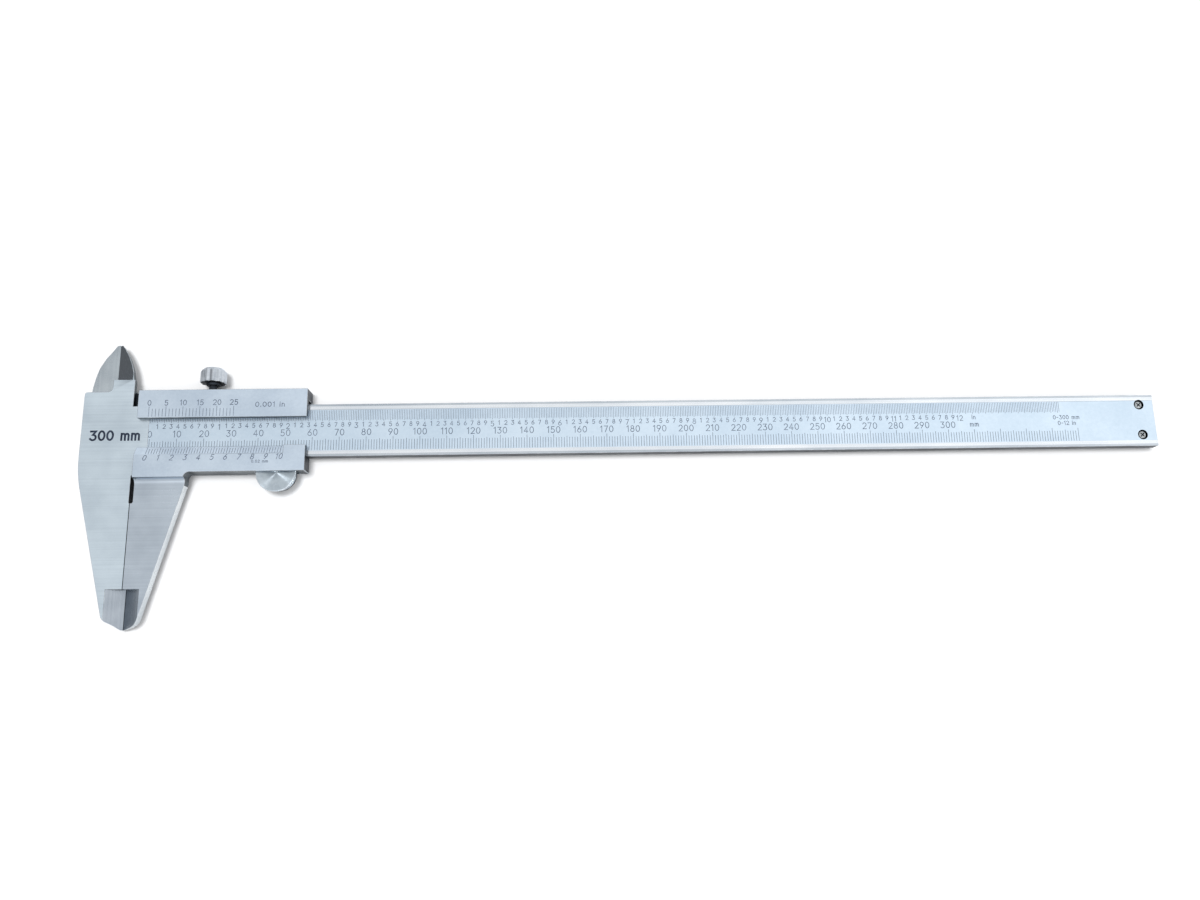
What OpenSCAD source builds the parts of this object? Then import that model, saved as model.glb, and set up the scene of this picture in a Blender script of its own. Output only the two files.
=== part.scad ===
// Vernier caliper, lying on its back with the graduated face up.
// Sketch frame: x = 0 on the measuring faces of the outside jaws, y = 0 on the lower edge
// of the beam, z = 0 on the table. The whole part is then moved so that the origin is the
// centre of the bottom of its bounding box.

/* [Beam] */
// Measuring faces of the jaws to the free end of the beam
beam_reach = 385.6; // [382:0.2:390]
// Height of the beam from its lower to its upper edge
beam_height = 20; // [19.6:0.1:20.4]
// Thickness of the beam, the head and the fixed jaw
beam_thick = 4; // [3.9:0.05:4.1]
// How far the graduated field lies below the polished rails
field_depth = 0.12; // [0.05:0.01:0.3]
// Width of the polished rail along each edge of the beam
rail_width = 2.15; // [1.6:0.05:2.6]

/* [Jaws] */
// Measuring faces to the left side of the head
head_reach = 20.05; // [19:0.05:21]
// Lower edge of the beam to the tips of the outside jaws
jaw_depth = 62.5; // [61:0.5:64]
// Height of the hollow-ground tips of the outside jaws
nib_height = 14.5; // [10:0.5:18]
// Half width of the hollow-ground tips
nib_half_width = 6.05; // [5:0.05:6.2]
// Lower edge of the beam to the tips of the inside jaws
inside_tip_y = 44.7; // [44:0.1:46]
// Distance of the inside measuring edges from the outside measuring faces
inside_edge_x = 9; // [8.6:0.1:9.4]

/* [Slider] */
// Measuring faces to the right end of the slider
slider_end = 63.4; // [62.8:0.1:64]
// Front face of the slider above the table
slider_front = 8.4; // [8.2:0.1:8.8]
// Lower edge of the slider below the beam
slider_drop = 5.7; // [5.4:0.1:6]
// Upper edge of the slider above the lower edge of the beam
slider_top = 25.6; // [25.4:0.1:26]
// Length of travel from closed jaws to the stop
travel = 306; // [300:1:308]

/* [Clamp] */
// Position of the lock screw along the beam
lock_x = 27; // [24:0.5:32]
// Radius of the fluted head of the lock screw
lock_head_r = 4.75; // [4.3:0.05:4.85]
// Number of flutes round the head of the lock screw
lock_flutes = 14; // [10:2:20]

/* [Thumb wheel] */
// Position of the wheel's axle along the beam
wheel_x = 52.65; // [52:0.05:53]
// Depth of the wheel's axle below the lower edge of the beam
wheel_drop = 5.9; // [5.6:0.1:6.2]
// Radius of the knurled flange that the thumb turns
wheel_r = 7.5; // [7:0.1:7.6]
// Number of teeth in the knurl of the wheel
wheel_teeth = 60; // [40:4:80]

/* [Hidden] */
$fn = 96;
eps = 0.01;
// running clearance between parts that slide or turn
play = 0.05;
// clearance round the fasteners that hold fixed pieces
seat_play = 0.02;

// levels above the table
plate_top = 0.8;
web_top = 2;
beam_back = web_top + play;
beam_front = beam_back + beam_thick;
lip_under = beam_front + play;
split = beam_back + beam_thick / 2;
lock_z = 5;

// the lower jaws
jaw_slope = atan(0.2505);
jaw_blend_r = 50;
relief_top = -6.6;
relief_bottom = -16.8;
nib_top = -jaw_depth + nib_height;
nib_floor = beam_back + 0.35;

// the slider
slider_left = 0.95;
upper_lip_y = 14.9;
lower_lip_y = 4.1;
bevel_end = 55.3;
jaw_root_y = -7.6;
fillet_r = slider_front - beam_front;

// the gib strip and the wall behind it
gib_low = beam_height + play;
gib_high = gib_low + 1.2;
wall_low = gib_high + 0.3;

// the depth rod
rod_y = 10;
rod_w = 3.8;
rod_top = 3.5;
groove_w = 4.1;
groove_top = 3.65;
foot_start = 24;
foot_end = 60;

// the thumb wheel
hub_r = wheel_drop - 0.03;
flange_low = beam_front + 0.1;
flange_top = flange_low + 0.8;
axle_r = 1.25;
pocket_r = wheel_r + 0.35;

// the stop at the free end
stop_start = slider_end + travel + 0.2;
end_screw_x = beam_reach - 5.5;

// origin of the finished part
shift = [(head_reach - beam_reach) / 2, (jaw_depth - inside_tip_y) / 2, 0];

plate_screws = [[6, 23.6], [58.5, 23.6], [6, -2.9], [36, -2.9]];
bracket_screws = [[42.6, -2.9], [61.2, -2.9]];
rivets = [[30, rod_y], [54, rod_y]];
end_screws = [[end_screw_x, 16.2], [end_screw_x, 4.4]];
gib_screws = [12, 46];

// screws of the end stop: head, counterbore and shank
stop_head_r = 1.45;
stop_bore_r = 1.9;
stop_bore_depth = 1.2;
stop_shank_r = 1;

function arc(c, r, a0, a1, n) =
    [for (i = [0:n]) c + r * [cos(a0 + (a1 - a0) * i / n), sin(a0 + (a1 - a0) * i / n)]];

// --- helpers -----------------------------------------------------------------------------

module placed() {
    translate(shift) children();
}

// a flat outline given in x and y, standing from z = low to z = high
module slab(low, high) {
    translate([0, 0, low]) linear_extrude(high - low) children();
}

// an outline given in x and z, running from y = from up to y = to
module along_y(from, to) {
    translate([0, to, 0]) rotate([90, 0, 0]) linear_extrude(to - from) children();
}

// an outline given in y and z, running from x = from to x = to
module along_x(from, to) {
    translate([from, 0, 0]) rotate([90, 0, 90]) linear_extrude(to - from) children();
}

// a box given by its two corners
module block(a, b) {
    translate(a) cube(b - a);
}

module post(p, r, low, high) {
    translate([p[0], p[1], low]) cylinder(r = r, h = high - low);
}

// a flat-head screw put in from behind: head at the table side, shank upwards
module back_screw(p, head_r, shank_r, head_h, top, slot_w) {
    difference() {
        union() {
            post(p, head_r, 0, head_h);
            post(p, shank_r, head_h - eps, top);
        }
        block([p[0] - head_r, p[1] - slot_w / 2, -eps], [p[0] + head_r, p[1] + slot_w / 2, head_h / 2]);
    }
}

module back_screw_hole(p, head_r, shank_r, head_h, top) {
    post(p, head_r + seat_play, -eps, head_h);
    post(p, shank_r + seat_play, head_h - eps, top + seat_play);
}

// the ground hollow that thins both outside jaws towards their measuring faces
module nib_hollow() {
    along_y(-jaw_depth - 1, nib_top)
        polygon([
            [-nib_half_width, beam_front],
            [0, nib_floor],
            [nib_half_width, beam_front],
            [nib_half_width, beam_front + 1],
            [-nib_half_width, beam_front + 1]
        ]);
}

// --- beam, head and fixed jaws --------------------------------------------------------------

module fixed_jaw_outline() {
    polygon(concat(
        [[0, beam_height], [-head_reach, beam_height]],
        arc([jaw_blend_r - head_reach, 0.76], jaw_blend_r, 180, 180 + jaw_slope, 8),
        [
            [-6.95, 4.8 - jaw_depth],
            [-6.4, 3.9 - jaw_depth],
            [-5.7, 3.1 - jaw_depth],
            [-3.05, 1.65 - jaw_depth],
            [-1.5, 0.5 - jaw_depth],
            [-0.8, 0.1 - jaw_depth],
            [0, -jaw_depth],
            [0, relief_bottom],
            [-0.28, relief_bottom + 0.14],
            [-0.4, relief_bottom + 0.5],
            [-0.4, relief_top],
            [0, relief_top + 0.4]
        ]
    ));
}

module head_top_outline() {
    polygon(concat(
        [[-1.8, beam_height - 1], [-1.8, 30.35], [-9.8, 30.35], [-9.8, 27.6]],
        arc([-11.7, 27.6], 1.9, 0, -90, 6),
        [[-19.3, 25.7], [-19.85, 25.3], [-head_reach, 24.6], [-head_reach, beam_height - 1]]
    ));
}

module fixed_blade_outline() {
    polygon([
        [-2.2, 30], [-2.6, 33.4], [-3.6, 36.6], [-5.1, 40], [-6.9, 42.9],
        [-8.2, inside_tip_y - 0.2], [-inside_edge_x, inside_tip_y - 0.5], [-inside_edge_x, 30]
    ]);
}

module beam() {
    color("#c9d2d9") placed() difference() {
        union() {
            slab(beam_back, beam_front) fixed_jaw_outline();
            block([-1, 0, beam_back], [beam_reach, beam_height, beam_front]);
            slab(split, beam_front) head_top_outline();
            slab(split, beam_front) fixed_blade_outline();
        }
        nib_hollow();
        // bevel that brings the fixed inside jaw to its measuring edge
        along_y(30.35, inside_tip_y + 1)
            polygon([
                [-inside_edge_x - 1, split - 0.1],
                [-inside_edge_x, split + 0.15],
                [-2.7, beam_front],
                [-2.7, beam_front + 1],
                [-inside_edge_x - 1, beam_front + 1]
            ]);
        // corner relief at the foot of the measuring edge
        post([-inside_edge_x, 30.7], 0.4, split - 1, beam_front + 1);
        // graduated field between the rails
        block(
            [4.6, rail_width, beam_front - field_depth],
            [beam_reach + 1, beam_height - rail_width, beam_front + 1]
        );
        // groove in the back for the depth rod
        block(
            [10, rod_y - groove_w / 2, beam_back - 1],
            [beam_reach + 1, rod_y + groove_w / 2, groove_top]
        );
        for (p = end_screws) {
            post(p, stop_shank_r + seat_play, beam_back - 1, beam_front);
            post(p, stop_bore_r, beam_front - stop_bore_depth, beam_front + 1);
        }
    }
}

module end_stop_plate() {
    color("#b4bcc2") placed() difference() {
        block([stop_start, 0.4, 0], [beam_reach, beam_height - 0.4, beam_back]);
        for (p = end_screws) post(p, stop_shank_r + seat_play, 0.4, beam_back + 1);
    }
}

// pan-head screw with a cross recess, sunk in the front of the beam
module end_stop_screw(p) {
    top = beam_front - 0.35;
    color("#9aa3aa") placed() difference() {
        union() {
            post(p, stop_shank_r, 0.45, top);
            post(p, stop_head_r, beam_front - stop_bore_depth + seat_play, top);
        }
        translate([p[0], p[1], top - 0.5]) for (a = [45, 135])
            rotate(a) translate([-1, -0.22, 0]) cube([2, 0.44, 1]);
    }
}

module end_stop_screw_upper() {
    end_stop_screw(end_screws[0]);
}

module end_stop_screw_lower() {
    end_stop_screw(end_screws[1]);
}

// --- slider with the moving jaws -------------------------------------------------------------

module moving_jaw_outline() {
    polygon([
        [0, relief_bottom], [0, -jaw_depth], [1.2, 0.25 - jaw_depth], [3.4, 0.95 - jaw_depth],
        [4.8, 1.8 - jaw_depth], [5.75, 3.2 - jaw_depth], [6.2, 4.6 - jaw_depth], [19.2, -10.4],
        [19.5, -8.6], [19.5, -5], [slider_left + 0.1, -5], [slider_left + 0.1, relief_bottom + 0.6],
        [0.85, relief_bottom + 0.25], [0.5, relief_bottom + 0.05]
    ]);
}

module slider_lower_outline() {
    polygon(concat(
        [
            [slider_left, -0.05], [slider_left, jaw_root_y], [19.5, jaw_root_y]
        ],
        arc([21.4, jaw_root_y], 1.9, 180, 90, 5),
        [[slider_end, -slider_drop], [slider_end, -0.05]]
    ));
}

module moving_blade_outline() {
    polygon([
        [slider_left + 1, beam_height + 0.25], [slider_left + 1, slider_top], [-1.1, slider_top],
        [-2.1, 26.1], [-2.8, 27], [-3, 28.2], [-3, 29.6], [-inside_edge_x, 29.6],
        [-inside_edge_x, inside_tip_y - 0.2], [-9.5, inside_tip_y], [-10.5, inside_tip_y - 0.3],
        [-12, 42.2], [-14.1, 39.6], [-16.3, 35.7], [-17.4, 32.2], [-18.2, 28], [-18.5, 25.6],
        [-18.5, beam_height + 0.25]
    ]);
}

module slider_body() {
    color("#c4d1dd") placed() difference() {
        union() {
            // web behind the beam
            block([slider_left, -slider_drop, plate_top], [slider_end, slider_top, web_top]);
            // wall and lip above the beam
            block([slider_left, wall_low, plate_top], [slider_end, slider_top, slider_front]);
            block([slider_left, upper_lip_y, lip_under], [slider_end, slider_top, slider_front]);
            // wall and lip below the beam
            slab(beam_back, slider_front) slider_lower_outline();
            block([slider_left, -slider_drop, plate_top], [slider_end, -play, slider_front]);
            block([slider_left, -slider_drop, lip_under], [slider_end, lower_lip_y, slider_front]);
            // moving outside jaw, and the fillet under its root
            slab(beam_back, beam_front) moving_jaw_outline();
            intersection() {
                slab(beam_back, slider_front) moving_jaw_outline();
                along_x(slider_left, 21) difference() {
                    translate([jaw_root_y - fillet_r, beam_front - 1]) square([fillet_r + 3, fillet_r + 1]);
                    translate([jaw_root_y - fillet_r, slider_front]) circle(r = fillet_r);
                }
            }
            // arm and blade of the moving inside jaw, behind the head
            slab(beam_back, split - 0.1) moving_blade_outline();
        }
        nib_hollow();
        // bevel under the metric vernier
        along_x(slider_left - 1, bevel_end)
            polygon([
                [lower_lip_y + 1, 6.2], [lower_lip_y, 6.55], [0.9, slider_front],
                [0.9, slider_front + 1], [lower_lip_y + 1, slider_front + 1]
            ]);
        // bevel behind the measuring edge of the moving inside jaw
        along_y(29.6, inside_tip_y + 1)
            polygon([
                [-14, beam_back], [-inside_edge_x, split - 0.25], [-inside_edge_x + 1, split - 0.25],
                [-inside_edge_x + 1, beam_back - 1], [-14, beam_back - 1]
            ]);
        // pocket for the thumb wheel and seat for its bracket
        post([wheel_x, -wheel_drop], pocket_r, web_top - eps, flange_top + 0.1);
        block([41, -slider_drop - 1, plate_top - 1], [slider_end + 1, 7, web_top]);
        // slot for the foot of the depth rod
        block([foot_start - 0.1, rod_y - groove_w / 2, plate_top - 1], [foot_end + 0.1, rod_y + groove_w / 2, web_top + 1]);
        // holes for the screws
        translate([lock_x, slider_top + 1, lock_z]) rotate([90, 0, 0]) cylinder(r = 1.53, h = 6);
        for (x = gib_screws)
            translate([x, slider_top + 1, lock_z]) rotate([90, 0, 0]) cylinder(r = 1.2 + seat_play, h = 6);
        for (p = plate_screws) post(p, 0.8 + seat_play, plate_top - 1, 6);
        for (p = bracket_screws) post(p, 0.8 + seat_play, plate_top - 1, 6);
    }
}

module slider_back_plate() {
    color("#b9c3cb") placed() difference() {
        block([slider_left + 0.6, -slider_drop + 0.5, 0], [slider_end - 0.4, slider_top - 0.5, plate_top]);
        for (p = plate_screws) back_screw_hole(p, 1.3, 0.8, plate_top / 2, 2);
        for (p = bracket_screws) back_screw_hole(p, 1.3, 0.8, plate_top / 2, 2);
        for (p = rivets) post(p, 1.2 + seat_play, -eps, 2);
        post([wheel_x, -wheel_drop], axle_r + 0.6, -eps, 2);
    }
}

module back_plate_screw(i) {
    color("#8d969d") placed() back_screw(plate_screws[i], 1.3, 0.8, plate_top / 2, 5.8, 0.4);
}

module back_plate_screw_1() {
    back_plate_screw(0);
}

module back_plate_screw_2() {
    back_plate_screw(1);
}

module back_plate_screw_3() {
    back_plate_screw(2);
}

module back_plate_screw_4() {
    back_plate_screw(3);
}

// --- depth rod ---------------------------------------------------------------------------------

module depth_rod() {
    color("#c2c9ce") placed() difference() {
        union() {
            block([foot_start, rod_y - rod_w / 2, beam_back + play], [beam_reach - 0.2, rod_y + rod_w / 2, rod_top]);
            block([foot_start, rod_y - rod_w / 2, plate_top], [foot_end, rod_y + rod_w / 2, rod_top]);
        }
        // stepped tip for reaching into corners
        block([beam_reach - 6, rod_y, beam_back - 1], [beam_reach + 1, rod_y + rod_w, beam_front]);
        for (p = rivets) post(p, 0.9 + seat_play, plate_top - 1, 3);
    }
}

module depth_rod_rivet(p) {
    color("#a9a08a") placed() union() {
        post(p, 1.2, 0.05, plate_top - seat_play);
        post(p, 0.9, 0.1, 2.98);
    }
}

module depth_rod_rivet_1() {
    depth_rod_rivet(rivets[0]);
}

module depth_rod_rivet_2() {
    depth_rod_rivet(rivets[1]);
}

// --- clamp: gib strip, its two adjusting screws and the lock screw ---------------------------------

module gib_strip() {
    color("#b08d57") placed()
        block([3, gib_low, web_top + 0.1], [slider_end - 2, gib_high, lip_under - 0.1]);
}

module gib_screw(x) {
    color("#8d969d") placed() difference() {
        translate([x, slider_top - 0.3, lock_z]) rotate([90, 0, 0]) cylinder(r = 1.2, h = slider_top - wall_low - 0.35);
        block([x - 2, slider_top - 0.9, lock_z - 0.2], [x + 2, slider_top, lock_z + 0.2]);
    }
}

module gib_screw_left() {
    gib_screw(gib_screws[0]);
}

module gib_screw_right() {
    gib_screw(gib_screws[1]);
}

module lock_screw() {
    head_low = slider_top + 3.1;
    color("#aeb7be") placed() translate([lock_x, 0, lock_z]) rotate([-90, 0, 0]) {
        translate([0, 0, gib_high + 0.02]) cylinder(r = 1.5, h = head_low - gib_high);
        translate([0, 0, head_low - 0.9]) cylinder(r = 2.5, h = 1);
        // head: a round core with flutes cut into its rim
        translate([0, 0, head_low]) difference() {
            union() {
                cylinder(r = lock_head_r, h = 4.9);
                cylinder(r = lock_head_r - 0.8, h = 5.7);
            }
            for (i = [1:lock_flutes])
                rotate(i * 360 / lock_flutes) translate([lock_head_r + 0.25, 0, -1]) cylinder(r = 0.62, h = 8, $fn = 24);
        }
    }
}

// --- thumb wheel -----------------------------------------------------------------------------------

module knurled_disc(r, teeth, depth) {
    polygon([
        for (i = [0:2 * teeth - 1])
            (r - (i % 2) * depth) * [cos(i * 180 / teeth), sin(i * 180 / teeth)]
    ]);
}

module thumb_wheel() {
    p = [wheel_x, -wheel_drop];
    color("#c3cfd6") placed() difference() {
        union() {
            post(p, hub_r, web_top + 0.06, flange_top);
            translate([p[0], p[1], flange_low]) linear_extrude(flange_top - flange_low)
                knurled_disc(wheel_r, wheel_teeth, 0.3);
        }
        post(p, axle_r + 0.03, web_top - 1, 5.6);
        // shallow turned dish in the face
        translate([p[0], p[1], flange_top + 22]) sphere(r = 23.05, $fn = 128);
    }
}

module thumb_wheel_axle() {
    color("#9aa3aa") placed() post([wheel_x, -wheel_drop], axle_r, plate_top, 5.5);
}

module thumb_wheel_bracket() {
    color("#a7b0b6") placed() difference() {
        union() {
            block([41.05, -slider_drop + 0.1, plate_top + seat_play], [slider_end - 0.2, 6.9, web_top - seat_play]);
            post([wheel_x, -wheel_drop], 6.3, plate_top + seat_play, web_top - seat_play);
        }
        post([wheel_x, -wheel_drop], axle_r + seat_play, plate_top - 1, web_top + 1);
        for (p = bracket_screws) post(p, 0.8 + seat_play, plate_top - 1, web_top + 1);
    }
}

module bracket_screw_1() {
    color("#8d969d") placed() back_screw(bracket_screws[0], 1.3, 0.8, plate_top / 2, 5.8, 0.4);
}

module bracket_screw_2() {
    color("#8d969d") placed() back_screw(bracket_screws[1], 1.3, 0.8, plate_top / 2, 5.8, 0.4);
}

beam();
end_stop_plate();
end_stop_screw_upper();
end_stop_screw_lower();
slider_body();
slider_back_plate();
back_plate_screw_1();
back_plate_screw_2();
back_plate_screw_3();
back_plate_screw_4();
depth_rod();
depth_rod_rivet_1();
depth_rod_rivet_2();
gib_strip();
gib_screw_left();
gib_screw_right();
lock_screw();
thumb_wheel();
thumb_wheel_axle();
thumb_wheel_bracket();
bracket_screw_1();
bracket_screw_2();
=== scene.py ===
"""Looks of a 300 mm vernier caliper that lies on its back with its jaws closed."""

import logging
import math
from collections.abc import Callable, Sequence
from dataclasses import dataclass, field
from enum import Enum

import bmesh
import bpy
from mathutils import Matrix, Vector


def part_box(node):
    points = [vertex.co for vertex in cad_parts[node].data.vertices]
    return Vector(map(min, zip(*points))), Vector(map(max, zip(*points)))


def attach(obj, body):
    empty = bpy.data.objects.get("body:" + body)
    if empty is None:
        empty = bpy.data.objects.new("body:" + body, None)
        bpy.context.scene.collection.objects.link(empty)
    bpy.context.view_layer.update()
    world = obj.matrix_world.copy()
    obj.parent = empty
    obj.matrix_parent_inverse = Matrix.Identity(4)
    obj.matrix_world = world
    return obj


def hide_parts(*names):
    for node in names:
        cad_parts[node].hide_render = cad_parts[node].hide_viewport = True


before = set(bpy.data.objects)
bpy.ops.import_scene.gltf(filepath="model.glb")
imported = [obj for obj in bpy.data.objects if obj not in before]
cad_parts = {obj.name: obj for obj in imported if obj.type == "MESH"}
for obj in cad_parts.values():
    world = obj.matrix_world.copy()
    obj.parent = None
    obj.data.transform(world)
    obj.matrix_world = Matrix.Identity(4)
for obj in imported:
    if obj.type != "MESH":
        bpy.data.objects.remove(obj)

log = logging.getLogger("caliper")

MM = 0.001
Point = tuple[float, float]
Stroke = list[Point]


# --- where things are ----------------------------------------------------------------------------


@dataclass(frozen=True)
class Datum:
    """The maker's own datum: measuring faces, lower edge of the beam and the table.

    Attributes:
        origin: place of the datum in metres.
    """

    origin: Vector

    @classmethod
    def from_beam(cls, head_reach: float = 20.05, jaw_depth: float = 62.5) -> "Datum":
        """Finds the datum from the beam's box.

        Args:
            head_reach: measuring faces to the left side of the head, in millimetres.
            jaw_depth: lower edge of the beam to the tips of the outside jaws, in millimetres.

        Returns:
            The datum of the whole caliper.
        """
        low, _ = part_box("beam")
        return cls(Vector((low.x + head_reach * MM, low.y + jaw_depth * MM, 0.0)))

    def at(self, x: float, y: float, z: float) -> Vector:
        """Returns a point given in the maker's millimetres, in metres."""
        return self.origin + Vector((x, y, z)) * MM

    def millimetres(self, point: Vector) -> Vector:
        """Returns a point given in metres, in the maker's millimetres."""
        return (point - self.origin) / MM


DATUM = Datum.from_beam()


# --- shader maths --------------------------------------------------------------------------------


class Signal:
    """A value in a material's graph that Python's own operators work on."""

    def __init__(self, graph: "Graph", socket: bpy.types.NodeSocket) -> None:
        """Keeps the graph and the socket that the value comes from."""
        self.graph = graph
        self.socket = socket

    def _math(self, operation: str, *values: "Signal | float") -> "Signal":
        """Adds one Math node.

        Args:
            operation: the node's operation.
            values: what goes into its sockets, in order.

        Returns:
            The node's result.
        """
        node = self.graph.node("ShaderNodeMath", {"operation": operation}, dict(enumerate(values)))
        return Signal(self.graph, node.outputs[0])

    def __add__(self, other: "Signal | float") -> "Signal":
        """Returns self + other."""
        return self._math("ADD", self, other)

    def __radd__(self, other: float) -> "Signal":
        """Returns other + self."""
        return self._math("ADD", other, self)

    def __sub__(self, other: "Signal | float") -> "Signal":
        """Returns self - other."""
        return self._math("SUBTRACT", self, other)

    def __rsub__(self, other: float) -> "Signal":
        """Returns other - self."""
        return self._math("SUBTRACT", other, self)

    def __mul__(self, other: "Signal | float") -> "Signal":
        """Returns self * other."""
        return self._math("MULTIPLY", self, other)

    def __rmul__(self, other: float) -> "Signal":
        """Returns other * self."""
        return self._math("MULTIPLY", other, self)

    def __abs__(self) -> "Signal":
        """Returns the value without its sign."""
        return self._math("ABSOLUTE", self)

    def step(self, low: float, high: float) -> "Signal":
        """Returns a smooth rise from 0 at low to 1 at high.

        Args:
            low: value at which the rise starts.
            high: value at which it is complete.

        Returns:
            The rise, from 0 to 1.
        """
        node = self.graph.node(
            "ShaderNodeMapRange",
            {"interpolation_type": "SMOOTHSTEP"},
            {"Value": self, "From Min": low, "From Max": high},
        )
        return Signal(self.graph, node.outputs["Result"])


class Graph:
    """The node graph of one material or of the world."""

    def __init__(self, tree: bpy.types.NodeTree) -> None:
        """Empties the tree and keeps it."""
        tree.nodes.clear()
        self.tree = tree

    def node(
        self,
        kind: str,
        settings: dict[str, object] | None = None,
        inputs: dict[str | int, object] | None = None,
    ) -> bpy.types.Node:
        """Adds a node, sets it up and fills its sockets.

        Args:
            kind: the node's type.
            settings: properties that are set first; "stops" fills a colour ramp.
            inputs: values, Signals or sockets by the socket's name or number.

        Returns:
            The new node.
        """
        node = self.tree.nodes.new(kind)
        for name, value in (settings or {}).items():
            if name == "stops":
                self._fill_ramp(node, value)
            else:
                setattr(node, name, value)
        for name, value in (inputs or {}).items():
            if isinstance(value, Signal):
                value = value.socket
            if isinstance(value, bpy.types.NodeSocket):
                self.tree.links.new(value, node.inputs[name])
            else:
                node.inputs[name].default_value = value
        return node

    @staticmethod
    def _fill_ramp(node: bpy.types.Node, stops: Sequence[tuple[float, tuple[float, ...]]]) -> None:
        """Gives a colour ramp its stops.

        Args:
            node: the ramp's node.
            stops: position and colour of each stop.
        """
        elements = node.color_ramp.elements
        while len(elements) < len(stops):
            elements.new(0.5)
        for element, (position, colour) in zip(elements, stops):
            element.position = position
            element.color = colour

    def place(self) -> bpy.types.NodeSocket:
        """Returns the point being shaded, in metres in the caliper's frame."""
        return self.node("ShaderNodeTexCoord").outputs["Object"]

    def stretched(self, place: bpy.types.NodeSocket, scale: Vector) -> bpy.types.NodeSocket:
        """Returns a place with each axis scaled, so that a pattern runs along one of them.

        Args:
            place: the vector to scale.
            scale: how much each axis is scaled.

        Returns:
            The scaled vector.
        """
        node = self.node("ShaderNodeVectorMath", {"operation": "MULTIPLY"}, {0: place, 1: scale})
        return node.outputs["Vector"]

    def noise(self, vector: bpy.types.NodeSocket, scale: float, detail: float = 2.0) -> Signal:
        """Returns a soft random pattern.

        Args:
            vector: where the pattern is read.
            scale: how fine it is.
            detail: how many finer layers it has.

        Returns:
            The pattern, about 0.5 on average.
        """
        node = self.node(
            "ShaderNodeTexNoise", None, {"Vector": vector, "Scale": scale, "Detail": detail}
        )
        return Signal(self, node.outputs["Fac"])

    def blend(self, share: "Signal | float", first: object, second: object) -> bpy.types.NodeSocket:
        """Mixes two colours.

        Args:
            share: share of the second colour.
            first: colour where share is 0.
            second: colour where share is 1.

        Returns:
            The mixed colour.
        """
        node = self.node(
            "ShaderNodeMix", {"data_type": "RGBA"}, {"Factor": share, 6: first, 7: second}
        )
        return node.outputs[2]


def linear(colour: tuple[int, int, int]) -> tuple[float, float, float, float]:
    """Turns a display colour into the linear colour that a shader takes.

    Args:
        colour: red, green and blue from 0 to 255.

    Returns:
        The linear colour with full alpha.
    """
    values = [c / 255 for c in colour]
    out = [v / 12.92 if v <= 0.04045 else ((v + 0.055) / 1.055) ** 2.4 for v in values]
    return (out[0], out[1], out[2], 1.0)


# --- finishes ------------------------------------------------------------------------------------


class Grain(Enum):
    """Which way the marks of the last working step run."""

    ALONG = (45.0, 5200.0, 5200.0)
    ACROSS = (5200.0, 60.0, 5200.0)
    BLASTED = (4200.0, 4200.0, 4200.0)


@dataclass(frozen=True)
class Steel:
    """A worked steel surface with grain, cloudy tone, fine scratches and handling marks.

    Attributes:
        name: name of the finish.
        light: display colour where the surface is cleanest.
        dark: display colour where it is dullest.
        grain: which way the marks run.
        rough: mean roughness.
        spread: how far the roughness varies.
        relief: height of the marks in micrometres.
        scratches: how strongly fine scratches show, from 0 to 1.
        cloud: size of the cloudy patches, as patches for each metre.
        anisotropy: how much the reflections are drawn out.
        turn: share of a full turn by which their direction is turned.
    """

    name: str
    light: tuple[int, int, int]
    dark: tuple[int, int, int]
    grain: Grain = Grain.ALONG
    rough: float = 0.34
    spread: float = 0.16
    relief: float = 3.0
    scratches: float = 0.35
    cloud: float = 70.0
    anisotropy: float = 0.0
    turn: float = 0.0

    def material(self) -> bpy.types.Material:
        """Builds the material, or returns it if it is there already.

        Returns:
            The material of this finish.
        """
        found = bpy.data.materials.get(self.name)
        if found:
            return found
        made = bpy.data.materials.new(self.name)
        made.use_nodes = True
        graph = Graph(made.node_tree)
        place = graph.place()
        marks = graph.noise(graph.stretched(place, Vector(self.grain.value)), 1.0, 3.0)
        coarse = tuple(v * 0.22 for v in self.grain.value)
        bands = graph.noise(graph.stretched(place, Vector(coarse)), 1.0, 2.0)
        patches = graph.noise(place, self.cloud, 3.0)
        specks = graph.noise(place, 2600.0, 1.0)
        along = graph.noise(graph.stretched(place, Vector((180.0, 1400.0, 700.0))), 1.0, 1.0)
        across = graph.noise(graph.stretched(place, Vector((1100.0, 260.0, 700.0))), 1.0, 1.0)
        lines = (1 - abs(along - 0.5).step(0.0, 0.006)) + (1 - abs(across - 0.5).step(0.0, 0.004))
        worn = lines * patches.step(0.5, 0.68) * self.scratches
        tone = (patches - 0.5) * 1.5 + (bands - 0.5) * 0.6 + (marks - 0.5) * 0.4
        tone = tone + (specks - 0.5) * 0.25 + 0.5
        colour = graph.blend(tone.step(0.0, 1.0), linear(self.dark), linear(self.light))
        bright = linear(tuple(min(255, c + 16) for c in self.light))
        colour = graph.blend(worn * 0.7, colour, bright)
        rough = (1 - tone) * self.spread + (self.rough - self.spread / 2) + worn * 0.08
        height = marks * 0.8 + specks * 0.25 - worn * 0.5
        bump = graph.node(
            "ShaderNodeBump", None,
            {"Height": height, "Distance": self.relief * 1e-6, "Strength": 1.0},
        )
        shader = graph.node(
            "ShaderNodeBsdfPrincipled", None,
            {
                "Base Color": colour,
                "Roughness": rough,
                "Metallic": 1.0,
                "Anisotropic": self.anisotropy,
                "Anisotropic Rotation": self.turn,
                "Normal": bump.outputs["Normal"],
            },
        )
        graph.node("ShaderNodeOutputMaterial", None, {"Surface": shader.outputs["BSDF"]})
        return made


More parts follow.
